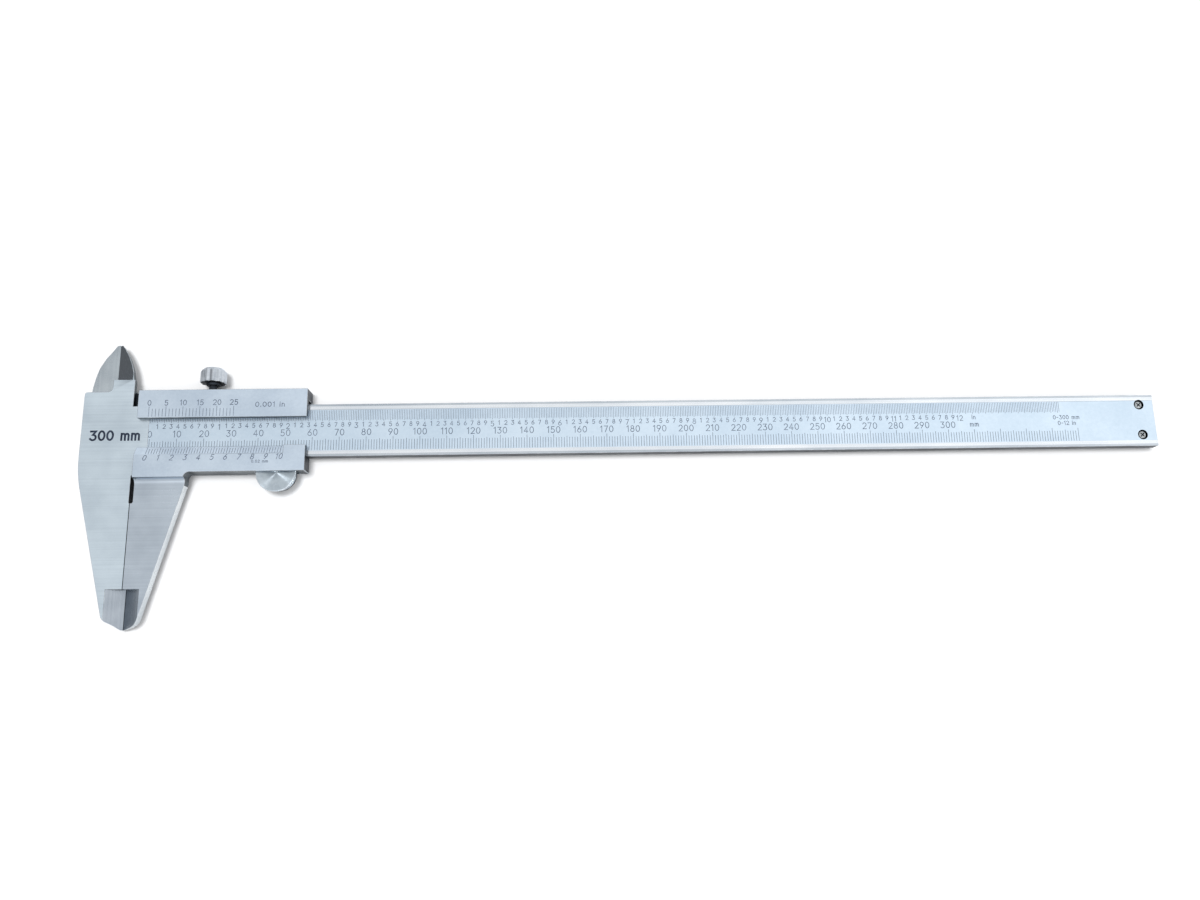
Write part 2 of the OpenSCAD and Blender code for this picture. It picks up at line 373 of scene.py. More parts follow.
@dataclass(frozen=True)
class Ink:
    """Paint filled into engraved lines, uneven where it has been rubbed.

    Attributes:
        name: name of the finish.
        deep: display colour where the paint is full.
        rubbed: display colour where it is thin.
    """

    name: str
    deep: tuple[int, int, int]
    rubbed: tuple[int, int, int]

    def material(self) -> bpy.types.Material:
        """Builds the material, or returns it if it is there already.

        Returns:
            The material of this finish.
        """
        found = bpy.data.materials.get(self.name)
        if found:
            return found
        made = bpy.data.materials.new(self.name)
        made.use_nodes = True
        graph = Graph(made.node_tree)
        place = graph.place()
        wear = graph.noise(place, 320.0, 3.0)
        fine = graph.noise(place, 5200.0, 2.0)
        share = (wear * 0.6 + fine * 0.4).step(0.42, 0.66)
        colour = graph.blend(share, linear(self.deep), linear(self.rubbed))
        bump = graph.node("ShaderNodeBump", None, {"Height": fine, "Distance": 4e-6})
        shader = graph.node(
            "ShaderNodeBsdfPrincipled", None,
            {"Base Color": colour, "Roughness": share * 0.2 + 0.45, "Metallic": 0.0,
             "Specular IOR Level": 0.3, "Normal": bump.outputs["Normal"]},
        )
        graph.node("ShaderNodeOutputMaterial", None, {"Surface": shader.outputs["BSDF"]})
        return made


@dataclass(frozen=True)
class FloorPaint:
    """A matt pale table top with a very fine tooth."""

    name: str = "pale_table"
    light: tuple[int, int, int] = (214, 214, 215)
    shade: tuple[int, int, int] = (209, 210, 211)

    def material(self) -> bpy.types.Material:
        """Builds the material.

        Returns:
            The material of the floor.
        """
        made = bpy.data.materials.new(self.name)
        made.use_nodes = True
        graph = Graph(made.node_tree)
        cloud = graph.noise(graph.place(), 9.0, 3.0)
        colour = graph.blend(cloud, linear(self.light), linear(self.shade))
        shader = graph.node(
            "ShaderNodeBsdfPrincipled", None,
            {"Base Color": colour, "Roughness": 0.9, "Specular IOR Level": 0.1},
        )
        graph.node("ShaderNodeOutputMaterial", None, {"Surface": shader.outputs["BSDF"]})
        return made


HEAD_STEEL = Steel("head_ground", (221, 235, 245), (201, 215, 226), rough=0.36, relief=0.9)
JAW_STEEL = Steel("jaw_ground", (200, 211, 222), (178, 189, 201), rough=0.32, relief=1.1)
HOLLOW_STEEL = Steel("nib_hollow_ground", (176, 184, 193), (140, 149, 159), Grain.ACROSS, rough=0.26)
BLADE_STEEL = Steel("blade_ground", (194, 203, 209), (160, 170, 179), Grain.ACROSS, rough=0.28)
SATIN = Steel("satin_chrome", (217, 231, 245), (199, 214, 230), Grain.BLASTED, rough=0.40,
              spread=0.08, relief=1.4, scratches=0.2)
FIELD_SATIN = Steel("field_satin", (220, 236, 250), (204, 222, 238), Grain.BLASTED, rough=0.36,
                    spread=0.08, relief=1.2, scratches=0.25, cloud=40.0)
# Polished rail, lightened with a painted highlight; it is the lit copy of one rail steel.
RAIL_PAINTED_LIGHT = Steel("polished_rail_painted_light", (244, 248, 252), (216, 224, 232), rough=0.18, spread=0.14, relief=0.8,
             scratches=0.6, cloud=28.0)
# Outer strip of each rail, the shaded copy of the same rail steel: painted shade.
RAIL_EDGE_PAINTED_SHADE = Steel("rail_edge_painted_shade", (208, 215, 222), (170, 180, 190), rough=0.24, spread=0.14,
                   relief=1.2, scratches=0.5, cloud=28.0)
EDGE = Steel("worn_edge", (206, 213, 220), (154, 164, 174), rough=0.26, spread=0.2, relief=1.0,
             scratches=0.5, cloud=420.0)
# Side faces of ground steel, darkened with painted shade.
PAINTED_SIDE_SHADE = Steel("side_painted_shade", (94, 101, 106), (62, 69, 75), rough=0.42, relief=2.4)
# The lit copy of the side steel, lightened as painted light on the sides that face the light.
PAINTED_SIDE_LIGHT = Steel("side_painted_light", (220, 225, 228), (186, 193, 198), rough=0.30, relief=2.0)
# Painted shade for gaps, bores and recesses.
PAINTED_GAP_SHADE = Steel("painted_gap_shade", (60, 66, 74), (34, 39, 46), Grain.BLASTED, rough=0.55)
PLATE = Steel("rolled_plate", (196, 202, 206), (164, 172, 178), rough=0.38, cloud=120.0)
ROD = Steel("rod_ground", (210, 214, 216), (178, 184, 188), rough=0.26, cloud=60.0)
SCREW = Steel("turned_screw", (204, 208, 210), (150, 156, 160), Grain.BLASTED, rough=0.33, cloud=900.0)
# Painted shade in the recesses and slots of screw heads.
SCREW_RECESS_SHADE = Steel("screw_recess_painted_shade", (74, 78, 84), (36, 40, 46), Grain.BLASTED, rough=0.5, cloud=900.0)
KNOB = Steel("fluted_knob", (212, 218, 225), (176, 183, 191), rough=0.50, spread=0.1, cloud=260.0)
# Painted shade under the lock screw's head and on its neck.
KNOB_UNDER_SHADE = Steel("knob_underside_painted_shade", (74, 80, 88), (40, 45, 52), Grain.BLASTED, rough=0.5, cloud=300.0)
WHEEL = Steel("wheel_turned", (216, 227, 235), (188, 201, 211), Grain.BLASTED, rough=0.44,
              spread=0.06, relief=0.5, cloud=260.0, anisotropy=0.97, turn=0.25)
# Side faces turned down or to the right, darkened with deeper painted shade.
DEEP_SIDE_SHADE = Steel("side_shaded", (66, 72, 79), (40, 45, 52), rough=0.42, relief=2.0)
BRONZE = Steel("drawn_bronze", (206, 160, 96), (158, 112, 60), rough=0.36, cloud=260.0)
SCALE_INK = Ink("scale_ink", (66, 80, 106), (122, 136, 158))
MARK_INK = Ink("mark_ink", (26, 38, 58), (58, 70, 90))


# --- mesh helpers --------------------------------------------------------------------------------


def seat(
    name: str, mesh: bpy.types.Mesh, body: str, nodes: Sequence[str] = ()
) -> bpy.types.Object:
    """Puts a finished mesh on its body and logs it.

    Args:
        name: name of the piece.
        mesh: its mesh, in place in metres.
        body: the body that it moves with.
        nodes: CAD nodes that it stands for.

    Returns:
        The piece.
    """
    piece = bpy.data.objects.new(name, mesh)
    bpy.context.scene.collection.objects.link(piece)
    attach(piece, body)
    if nodes:
        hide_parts(*nodes)
    log.info("%s: %d faces on %s", name, len(mesh.polygons), body)
    return piece


def baked(mesh: bpy.types.Mesh, add: Callable[[bpy.types.Object], None]) -> bpy.types.Mesh:
    """Runs modifiers on a mesh and returns the plain result.

    Args:
        mesh: the mesh to start from.
        add: puts the modifiers on the object that it is given.

    Returns:
        A new mesh with the modifiers' result.
    """
    helper = bpy.data.objects.new("helper", mesh)
    bpy.context.scene.collection.objects.link(helper)
    add(helper)
    graph = bpy.context.evaluated_depsgraph_get()
    result = bpy.data.meshes.new_from_object(helper.evaluated_get(graph), depsgraph=graph)
    helper.modifiers.clear()
    bpy.data.objects.remove(helper)
    return result


def cad_copy(node: str) -> bmesh.types.BMesh:
    """Copies a CAD node's loose triangles into one joined mesh with flat faces whole.

    Args:
        node: name of the CAD node.

    Returns:
        The joined mesh, in metres.
    """
    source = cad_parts[node].data
    made = bmesh.new()
    corners = [made.verts.new(vert.co) for vert in source.vertices]
    for polygon in source.polygons:
        made.faces.new([corners[i] for i in polygon.vertices])
    bmesh.ops.remove_doubles(made, verts=made.verts, dist=2e-6)
    bmesh.ops.dissolve_degenerate(made, edges=made.edges, dist=1e-7)
    bmesh.ops.dissolve_limit(
        made, angle_limit=math.radians(0.4), use_dissolve_boundaries=False,
        verts=made.verts, edges=made.edges,
    )
    made.normal_update()
    return made


def room_beside(edge: bmesh.types.BMEdge) -> float:
    """Measures how much flat metal lies beside an edge, so that its rounding fits.

    Args:
        edge: the edge to be rounded.

    Returns:
        The smaller of the two sides' widths, in metres.
    """
    start, end = edge.verts[0].co, edge.verts[1].co
    points = [start.lerp(end, t) for t in (0.04, 0.5, 0.96)]
    best = 1.0
    for face in edge.link_faces:
        here = next(loop for loop in face.loops if loop.edge == edge)
        heading = (here.link_loop_next.vert.co - here.vert.co).normalized()
        for loop in face.loops:
            if loop.edge == edge or set(loop.edge.verts) & set(edge.verts):
                continue
            a, b = loop.vert.co, loop.link_loop_next.vert.co
            span = b - a
            if span.length_squared < 1e-16 or span.normalized().dot(heading) > 0.3:
                continue
            for point in points:
                t = max(0.0, min(1.0, (point - a).dot(span) / span.length_squared))
                best = min(best, (point - a - span * t).length)
    return best


@dataclass
class Machined:
    """A metal piece that keeps its CAD shape and gets broken edges and its finishes.

    Attributes:
        node: the CAD node it stands for.
        body: the body it moves with.
        slot: the record's material slot; not used.
        finish: finish of the faces that no zone names.
        edge: finish of the broken edges.
        edge_width: width of a broken edge, in millimetres.
        zones: tests on a face's middle and normal, each with its finish; the first that fits counts.
        cuts: planes, as a point and a normal in millimetres, where two finishes meet in one face.
        edge_zones: the same as zones, for broken edges that aren't bright.
        crisp: tells whether an edge with its middle at a point stays unbroken.
    """

    node: str
    body: str
    slot: str
    finish: Steel
    edge: Steel = EDGE
    edge_width: float = 0.12
    zones: list[tuple[Callable[[Vector, Vector], bool], Steel]] = field(default_factory=list)
    cuts: list[tuple[Vector, Vector]] = field(default_factory=list)
    edge_zones: list[tuple[Callable[[Vector, Vector], bool], Steel]] = field(default_factory=list)
    crisp: Callable[[Vector], bool] = lambda point: False

    def build(self) -> bpy.types.Object:
        """Builds the piece and seats it on its body.

        Returns:
            The finished piece.
        """
        made = cad_copy(self.node)
        for point, normal in self.cuts:
            bmesh.ops.bisect_plane(
                made, geom=[*made.verts, *made.edges, *made.faces], dist=1e-7,
                plane_co=DATUM.at(*point), plane_no=normal,
            )
        finishes = [self.finish]
        for _, finish in self.zones + self.edge_zones:
            if finish not in finishes:
                finishes.append(finish)
        for face in made.faces:
            middle = DATUM.millimetres(face.calc_center_bounds())
            for test, finish in self.zones:
                if test(middle, face.normal):
                    face.material_index = finishes.index(finish)
                    break
        self._mark_edges(made)
        mesh = bpy.data.meshes.new(f"finished_{self.node}")
        made.to_mesh(mesh)
        made.free()
        for finish in [*finishes, self.edge]:
            mesh.materials.append(finish.material())
        edge_index = len(finishes)

        def add(piece: bpy.types.Object) -> None:
            """Puts the modifier that breaks the edges on the piece."""
            bevel = piece.modifiers.new("broken_edges", "BEVEL")
            bevel.limit_method = "WEIGHT"
            bevel.width = self.edge_width * MM
            bevel.segments = 2
            bevel.use_clamp_overlap = False
            bevel.miter_outer = "MITER_ARC"
            bevel.harden_normals = True
            bevel.material = edge_index

        result = baked(mesh, add)
        result.name = f"finished_{self.node}"
        for polygon in result.polygons:
            middle = DATUM.millimetres(polygon.center)
            for test, finish in self.edge_zones:
                if polygon.material_index == edge_index and test(middle, polygon.normal):
                    polygon.material_index = finishes.index(finish)
        return seat(f"finished_{self.node}", result, self.body, [self.node])

    def _mark_edges(self, made: bmesh.types.BMesh) -> None:
        """Gives each outer corner the share of the edge width that has room beside it.

        Args:
            made: the mesh, in metres.
        """
        weight = made.edges.layers.float.new("bevel_weight_edge")
        width = self.edge_width * MM
        for face in made.faces:
            face.smooth = True
        for edge in made.edges:
            if len(edge.link_faces) != 2:
                continue
            angle = edge.calc_face_angle(0.0)
            if angle < math.radians(24):
                continue
            edge.smooth = False
            middle = DATUM.millimetres((edge.verts[0].co + edge.verts[1].co) / 2)
            if edge.is_convex and edge.calc_length() > 5e-6 and not self.crisp(middle):
                room = room_beside(edge)
                edge[weight] = min(1.0, 0.3 * room / width) if room > 0.17 * MM else 0.0


def lathe(profile: Sequence[Point], steps: int) -> bmesh.types.BMesh:
    """Turns a profile round the Z axis into a closed body.

    Args:
        profile: radius and height of each point, from the axis to the axis, in millimetres.
        steps: how many facets go round.

    Returns:
        The closed body, in millimetres, with its faces outwards.
    """
    made = bmesh.new()
    rings: list[list[bmesh.types.BMVert]] = []
    for radius, height in profile:
        if radius < 1e-6:
            rings.append([made.verts.new((0.0, 0.0, height))])
            continue
        ring = []
        for i in range(steps):
            angle = 2 * math.pi * i / steps
            ring.append(made.verts.new((radius * math.cos(angle), radius * math.sin(angle), height)))
        rings.append(ring)
    for low, high in zip(rings, rings[1:]):
        for i in range(steps):
            j = (i + 1) % steps
            corners = [low[i % len(low)], low[j % len(low)], high[j % len(high)], high[i % len(high)]]
            unique = list(dict.fromkeys(corners))
            if len(unique) > 2:
                made.faces.new(unique)
    bmesh.ops.recalc_face_normals(made, faces=made.faces)
    for face in made.faces:
        face.smooth = True
    return made


def split_sharp(mesh: bpy.types.Mesh, degrees: float = 32.0) -> None:
    """Shades a mesh smoothly, with its corners kept crisp.

    Args:
        mesh: the mesh.
        degrees: corners sharper than this stay crisp.
    """
    for polygon in mesh.polygons:
        polygon.use_smooth = True
    mesh.set_sharp_from_angle(angle=math.radians(degrees))


# --- lettering -----------------------------------------------------------------------------------


def bow(cx: float, cy: float, rx: float, ry: float, start: float, end: float, steps: int = 10) -> Stroke:
    """Returns points along part of an ellipse.

    Args:
        cx: middle, across.
        cy: middle, up.
        rx: half width.
        ry: half height.
        start: first angle in degrees.
        end: last angle in degrees.
        steps: number of spans.

    Returns:
        The points.
    """
    angles = [math.radians(start + (end - start) * i / steps) for i in range(steps + 1)]
    return [(cx + rx * math.cos(a), cy + ry * math.sin(a)) for a in angles]


class Engraver:
    """Draws plain single-line characters as thin closed ribbons of paint.

    Characters are one unit high. A stroke whose last point is its first is a closed loop.
    """

    GLYPHS: dict[str, tuple[float, list[Stroke]]] = {
        "0": (0.62, [bow(0.31, 0.5, 0.29, 0.49, 90, 450, 20)]),
        "1": (0.34, [[(0.02, 0.80), (0.24, 1.0), (0.24, 0.0)]]),
        "2": (0.60, [bow(0.30, 0.70, 0.27, 0.29, 165, -38, 10) + [(0.02, 0.0), (0.59, 0.0)]]),
        "3": (0.60, [[(0.04, 0.98), (0.54, 0.98), (0.27, 0.60)]
                     + bow(0.27, 0.30, 0.30, 0.30, 75, -150, 11)]),
        "4": (0.64, [[(0.44, 0.0), (0.44, 1.0), (0.02, 0.28)], [(0.02, 0.28), (0.62, 0.28)]]),
        "5": (0.60, [[(0.53, 0.98), (0.11, 0.98), (0.07, 0.53)]
                     + bow(0.28, 0.31, 0.30, 0.32, 128, -145, 11)]),
        "6": (0.60, [bow(0.30, 0.29, 0.28, 0.29, 150, 510, 16), [(0.05, 0.43), (0.42, 1.0)]]),
        "7": (0.58, [[(0.02, 0.98), (0.56, 0.98), (0.19, 0.0)]]),
        "8": (0.60, [bow(0.30, 0.76, 0.22, 0.23, -90, 270, 14), bow(0.30, 0.27, 0.28, 0.27, 90, 450, 16)]),
        "9": (0.60, [bow(0.30, 0.71, 0.28, 0.29, -30, 330, 16), [(0.55, 0.57), (0.18, 0.0)]]),
        ".": (0.16, [[(0.06, 0.0), (0.06, 0.10)]]),
        "-": (0.46, [[(0.04, 0.46), (0.42, 0.46)]]),
        "m": (0.82, [[(0.04, 0.0), (0.04, 0.68)], bow(0.22, 0.48, 0.18, 0.20, 180, 0, 6) + [(0.40, 0.0)],
                     bow(0.58, 0.48, 0.18, 0.20, 180, 0, 6) + [(0.76, 0.0)]]),
        "i": (0.12, [[(0.06, 0.0), (0.06, 0.68)], [(0.06, 0.88), (0.06, 0.98)]]),
        "n": (0.50, [[(0.04, 0.0), (0.04, 0.68)], bow(0.24, 0.46, 0.20, 0.22, 180, 0, 7) + [(0.44, 0.0)]]),
        " ": (0.34, []),
    }

    def __init__(self, width: float, gap: float = 0.26, proud: float = 0.012, sunk: float = 0.02) -> None:
        """Sets up the tool.

        Args:
            width: width of a line, in millimetres.
            gap: space between characters, as a share of their height.
            proud: how far the paint stands over the metal, in millimetres.
            sunk: how far it reaches into the metal, in millimetres.
        """
        self.width = width
        self.gap = gap
        self.proud = proud
        self.sunk = sunk
        self.made = bmesh.new()

    def line_length(self, text: str, height: float) -> float:
        """Returns how long a line of text is, in millimetres."""
        return height * (sum(self.GLYPHS[c][0] for c in text) + self.gap * (len(text) - 1))

    def write(
        self, text: str, centre: Point, height: float, level: float, slant: float = 0.0,
        stretch: float = 1.0,
    ) -> None:
        """Writes one line of text.

        Args:
            text: the characters.
            centre: middle of the text in the datum's x and y, in millimetres.
            height: height of the characters, in millimetres.
            level: height of the metal above the table, in millimetres.
            slant: how far the top leans to the right, as a share of the height.
            stretch: how much wider than usual the text is.
        """
        pen = centre[0] - self.line_length(text, height) * stretch / 2
        foot = centre[1] - height / 2
        for character in text:
            advance, strokes = self.GLYPHS[character]
            for layer, stroke in enumerate(strokes):
                points = [
                    (pen + (x * stretch + (y - 0.5) * slant) * height, foot + y * height)
                    for x, y in stroke
                ]
                self._ribbon(points, level + 0.002 * layer)
            pen += (advance + self.gap) * height * stretch

    def _ribbon(self, points: Stroke, level: float) -> None:
        """Lays one closed ribbon along a stroke.

        Args:
            points: the stroke's points, in millimetres.
            level: height of the metal above the table, in millimetres.
        """
        path = [Vector(p) for p in points]
        closed = (path[0] - path[-1]).length < 1e-6
        if closed:
            path.pop()
        count = len(path)
        half = self.width / 2
        rows: list[list[bmesh.types.BMVert]] = []
        for i, point in enumerate(path):
            before = path[i - 1] if i or closed else None
            after = path[(i + 1) % count] if i + 1 < count or closed else None
            ways = [w.normalized() for w in (
                (point - before) if before is not None else None,
                (after - point) if after is not None else None,
            ) if w is not None]
            way = sum(ways, Vector((0.0, 0.0))).normalized()
            side = Vector((-way.y, way.x))
            reach = half / max(0.45, side.dot(Vector((-ways[0].y, ways[0].x))))
            if not closed and i in (0, count - 1):
                point = point + way * (half if i else -half)
            left, right = point + side * reach, point - side * reach
            rows.append([
                self.made.verts.new(DATUM.at(spot.x, spot.y, level + lift))
                for spot, lift in (
                    (left, self.proud), (right, self.proud), (right, -self.sunk), (left, -self.sunk)
                )
            ])
        pairs = list(zip(rows, rows[1:])) + ([(rows[-1], rows[0])] if closed else [])
        for first, second in pairs:
            for k in range(4):
                m = (k + 1) % 4
                self.made.faces.new((first[k], first[m], second[m], second[k]))
        if not closed:
            self.made.faces.new(rows[0][::-1])
            self.made.faces.new(rows[-1])

    def finish(self, name: str, body: str, slot: str, ink: Ink) -> bpy.types.Object:
        """Ends the lettering and seats it on its body.

        Args:
            name: name of the piece.
            body: the body that it moves with.
            slot: the record's material slot; not used.
            ink: the paint.

        Returns:
            The piece.
        """
        bmesh.ops.recalc_face_normals(self.made, faces=self.made.faces)
        mesh = bpy.data.meshes.new(name)
        self.made.to_mesh(mesh)
        self.made.free()
        mesh.materials.append(ink.material())
        return seat(name, mesh, body)


# --- shapes that follow a rule -------------------------------------------------------------------


class RuleTree:
    """A Geometry Nodes tree with named inputs, and how to run it."""

    def __init__(self, name: str, sizes: dict[str, str]) -> None:
        """Starts the tree.

        Args:
            name: name of the tree.
            sizes: name and socket type of each input after the geometry.
        """
        self.tree = bpy.data.node_groups.new(name, "GeometryNodeTree")
        face = self.tree.interface
        face.new_socket("Geometry", in_out="OUTPUT", socket_type="NodeSocketGeometry")
        face.new_socket("Geometry", in_out="INPUT", socket_type="NodeSocketGeometry")
        self.names = {
            label: face.new_socket(label, in_out="INPUT", socket_type=kind).identifier
            for label, kind in sizes.items()
        }
        self.start = self.tree.nodes.new("NodeGroupInput")

    def node(self, kind: str, settings: dict[str, object] | None = None,
             inputs: dict[str | int, object] | None = None) -> bpy.types.Node:
        """Adds a node, sets it up and fills its sockets.

        Args:
            kind: the node's type.
            settings: properties that are set first.
            inputs: values or sockets by the socket's name or number.

        Returns:
            The new node.
        """
        node = self.tree.nodes.new(kind)
        for label, value in (settings or {}).items():
            setattr(node, label, value)
        for label, value in (inputs or {}).items():
            if isinstance(value, bpy.types.NodeSocket):
                self.tree.links.new(value, node.inputs[label])
            else:
                node.inputs[label].default_value = value
        return node

    def maths(self, operation: str, *values: object) -> bpy.types.NodeSocket:
        """Adds one Math node and returns its result."""
        return self.node("ShaderNodeMath", {"operation": operation}, dict(enumerate(values))).outputs[0]

    def given(self, label: str) -> bpy.types.NodeSocket:
        """Returns the socket of a named input."""
        return self.start.outputs[label]

    def end(self, geometry: bpy.types.NodeSocket) -> None:
        """Sends the geometry to the tree's output."""
        self.node("NodeGroupOutput", None, {0: geometry})

    def run(self, mesh: bpy.types.Mesh, values: dict[str, object]) -> bpy.types.Mesh:
        """Runs the tree on a mesh.

        Args:
            mesh: what goes into the tree.
            values: value of each named input.

        Returns:
            The result as a plain mesh.
        """
        def add(piece: bpy.types.Object) -> None:
            """Puts the tree on the piece with its inputs set."""
            rule = piece.modifiers.new("rule", "NODES")
            rule.node_group = self.tree
            for label, value in values.items():
                rule[self.names[label]] = value

        return baked(mesh, add)


def graduation_tree() -> RuleTree:
    """Builds the tree that lays out the lines of a scale.

    Returns:
        A tree that makes lines along X that stand on the X axis, some of them longer.
    """
    rule = RuleTree("graduation", {
        "Count": "NodeSocketInt", "Pitch": "NodeSocketFloat", "Width": "NodeSocketFloat",
        "Thickness": "NodeSocketFloat", "Short": "NodeSocketFloat", "Medium": "NodeSocketFloat",
        "Long": "NodeSocketFloat", "Medium Every": "NodeSocketInt", "Long Every": "NodeSocketInt",
        "Side": "NodeSocketFloat", "Finish": "NodeSocketMaterial",
    })
    step = rule.node("ShaderNodeCombineXYZ", None, {0: rule.given("Pitch")})
    line = rule.node("GeometryNodeMeshLine", {"mode": "OFFSET"},
                     {"Count": rule.given("Count"), "Offset": step.outputs[0]})
    mark = rule.node("GeometryNodeMeshCube", None, {"Size": (1.0, 1.0, 1.0)})
    foot = rule.node("ShaderNodeCombineXYZ", None, {1: rule.given("Side")})
    mark = rule.node("GeometryNodeTransform", None,
                     {"Geometry": mark.outputs["Mesh"], "Translation": foot.outputs[0]})
    index = rule.node("GeometryNodeInputIndex").outputs[0]

    def every(label: str) -> bpy.types.NodeSocket:
        """Returns 1 on each line whose number is a multiple of the named input."""
        left = rule.maths("MODULO", index, rule.given(label))
        return rule.maths("LESS_THAN", left, 0.5)

    def pick(share: bpy.types.NodeSocket, off: bpy.types.NodeSocket,
             on: bpy.types.NodeSocket) -> bpy.types.NodeSocket:
        """Returns on where share is 1 and off where it is 0."""
        node = rule.node("ShaderNodeMix", {"data_type": "FLOAT"}, {0: share, 2: off, 3: on})
        return node.outputs[0]

    length = pick(every("Medium Every"), rule.given("Short"), rule.given("Medium"))
    length = pick(every("Long Every"), length, rule.given("Long"))
    size = rule.node("ShaderNodeCombineXYZ", None,
                     {0: rule.given("Width"), 1: length, 2: rule.given("Thickness")})
    lines = rule.node("GeometryNodeInstanceOnPoints", None,
                      {"Points": line.outputs["Mesh"], "Instance": mark.outputs["Geometry"],
                       "Scale": size.outputs[0]})
    real = rule.node("GeometryNodeRealizeInstances", None, {"Geometry": lines.outputs["Instances"]})
    dressed = rule.node("GeometryNodeSetMaterial", None,
                        {"Geometry": real.outputs["Geometry"], "Material": rule.given("Finish")})
    rule.end(dressed.outputs["Geometry"])
    return rule


def flute_tree() -> RuleTree:
    """Builds the tree that cuts flutes or teeth round a turned body.

    Returns:
        A tree that pushes the rim of a body in, in waves round the Z axis.
    """
    rule = RuleTree("flutes", {
        "Count": "NodeSocketFloat", "Depth": "NodeSocketFloat", "Sharpness": "NodeSocketFloat",
        "Inner Radius": "NodeSocketFloat", "Outer Radius": "NodeSocketFloat",
        "Finish": "NodeSocketMaterial", "Rim Finish": "NodeSocketMaterial",
        "Under Finish": "NodeSocketMaterial", "Neck Radius": "NodeSocketFloat",
    })
    place = rule.node("GeometryNodeInputPosition").outputs[0]
    parts = rule.node("ShaderNodeSeparateXYZ", None, {0: place}).outputs
    radius = rule.maths("SQRT", rule.maths("ADD", rule.maths("MULTIPLY", parts[0], parts[0]),
                                           rule.maths("MULTIPLY", parts[1], parts[1])))
    turn = rule.maths("MULTIPLY", rule.maths("ARCTAN2", parts[1], parts[0]), rule.given("Count"))
    wave = rule.maths("ADD", rule.maths("MULTIPLY", rule.maths("COSINE", turn), 0.5), 0.5)
    wave = rule.maths("POWER", wave, rule.given("Sharpness"))
    rim = rule.node("ShaderNodeMapRange", None,
                    {0: radius, 1: rule.given("Inner Radius"), 2: rule.given("Outer Radius")}).outputs[0]
    cut = rule.maths("MULTIPLY", rule.maths("MULTIPLY", wave, rim), rule.given("Depth"))
    share = rule.maths("DIVIDE", rule.maths("SUBTRACT", radius, cut), rule.maths("MAXIMUM", radius, 1e-6))
    flat = rule.node("ShaderNodeCombineXYZ", None,
                     {0: rule.maths("MULTIPLY", parts[0], share),
                      1: rule.maths("MULTIPLY", parts[1], share), 2: parts[2]})
    moved = rule.node("GeometryNodeSetPosition", None,
                      {"Geometry": rule.given("Geometry"), "Position": flat.outputs[0]})
    real = rule.node("GeometryNodeRealizeInstances", None, {"Geometry": moved.outputs["Geometry"]})
    dressed = rule.node("GeometryNodeSetMaterial", None,
                        {"Geometry": real.outputs["Geometry"], "Material": rule.given("Finish")})
    on_rim = rule.maths("GREATER_THAN", rim, 0.75)
    dressed = rule.node("GeometryNodeSetMaterial", None,
                        {"Geometry": dressed.outputs["Geometry"], "Selection": on_rim,
                         "Material": rule.given("Rim Finish")})
    # The Under Finish goes on faces looking down and on the neck; on the lock screw it is painted shade.
    normal = rule.node("GeometryNodeInputNormal").outputs[0]
    height = rule.node("ShaderNodeSeparateXYZ", None, {0: normal}).outputs[2]
    neck = rule.maths("MULTIPLY", rule.maths("LESS_THAN", radius, rule.given("Neck Radius")),
                      rule.maths("LESS_THAN", height, 0.6))
    dressed = rule.node("GeometryNodeSetMaterial", None,
                        {"Geometry": dressed.outputs["Geometry"],
                         "Selection": rule.maths("MAXIMUM", neck, rule.maths("LESS_THAN", height, -0.6)),
                         "Material": rule.given("Under Finish")})
    rule.end(dressed.outputs["Geometry"])
    return rule


@dataclass
class Scale:
    """The lines of one scale.

    Attributes:
        name: name of the piece.
        body: the body that it moves with.
        slot: the record's material slot; not used.
        count: number of lines.
        pitch: distance between lines, in millimetres.
        lengths: length of a short, a medium and a long line, in millimetres.
        every: a medium line comes every so many lines, and a long one every so many.
        start: foot of the first line, in the datum's millimetres.
        width: width of a line, in millimetres.
        tilt: how far the scale's face leans, in degrees.
        upwards: whether the lines grow towards +Y from their foot.
    """

    name: str
    body: str
    slot: str
    count: int
    pitch: float
    lengths: tuple[float, float, float]
    every: tuple[int, int]
    start: tuple[float, float, float]
    width: float = 0.15
    tilt: float = 0.0
    upwards: bool = True

    def build(self, rule: RuleTree) -> bpy.types.Object:
        """Lays out the lines and seats them on their body.

        Args:
            rule: the tree that makes graduations.

        Returns:
            The piece.
        """
        mesh = rule.run(bpy.data.meshes.new(self.name), {
            "Count": self.count, "Pitch": self.pitch * MM, "Width": self.width * MM,
            "Thickness": 0.024 * MM, "Short": self.lengths[0] * MM, "Medium": self.lengths[1] * MM,
            "Long": self.lengths[2] * MM, "Medium Every": self.every[0], "Long Every": self.every[1],
            "Side": 0.5 if self.upwards else -0.5, "Finish": SCALE_INK.material(),
        })
        mesh.name = self.name
        turn = Matrix.Rotation(math.radians(self.tilt), 4, "X")
        mesh.transform(Matrix.Translation(DATUM.at(*self.start)) @ turn)
        return seat(self.name, mesh, self.body)


# --- the caliper's sub-assemblies ----------------------------------------------------------------


def faces_up(normal: Vector) -> bool:
    """Tells whether a face looks straight up."""
    return normal.z > 0.99


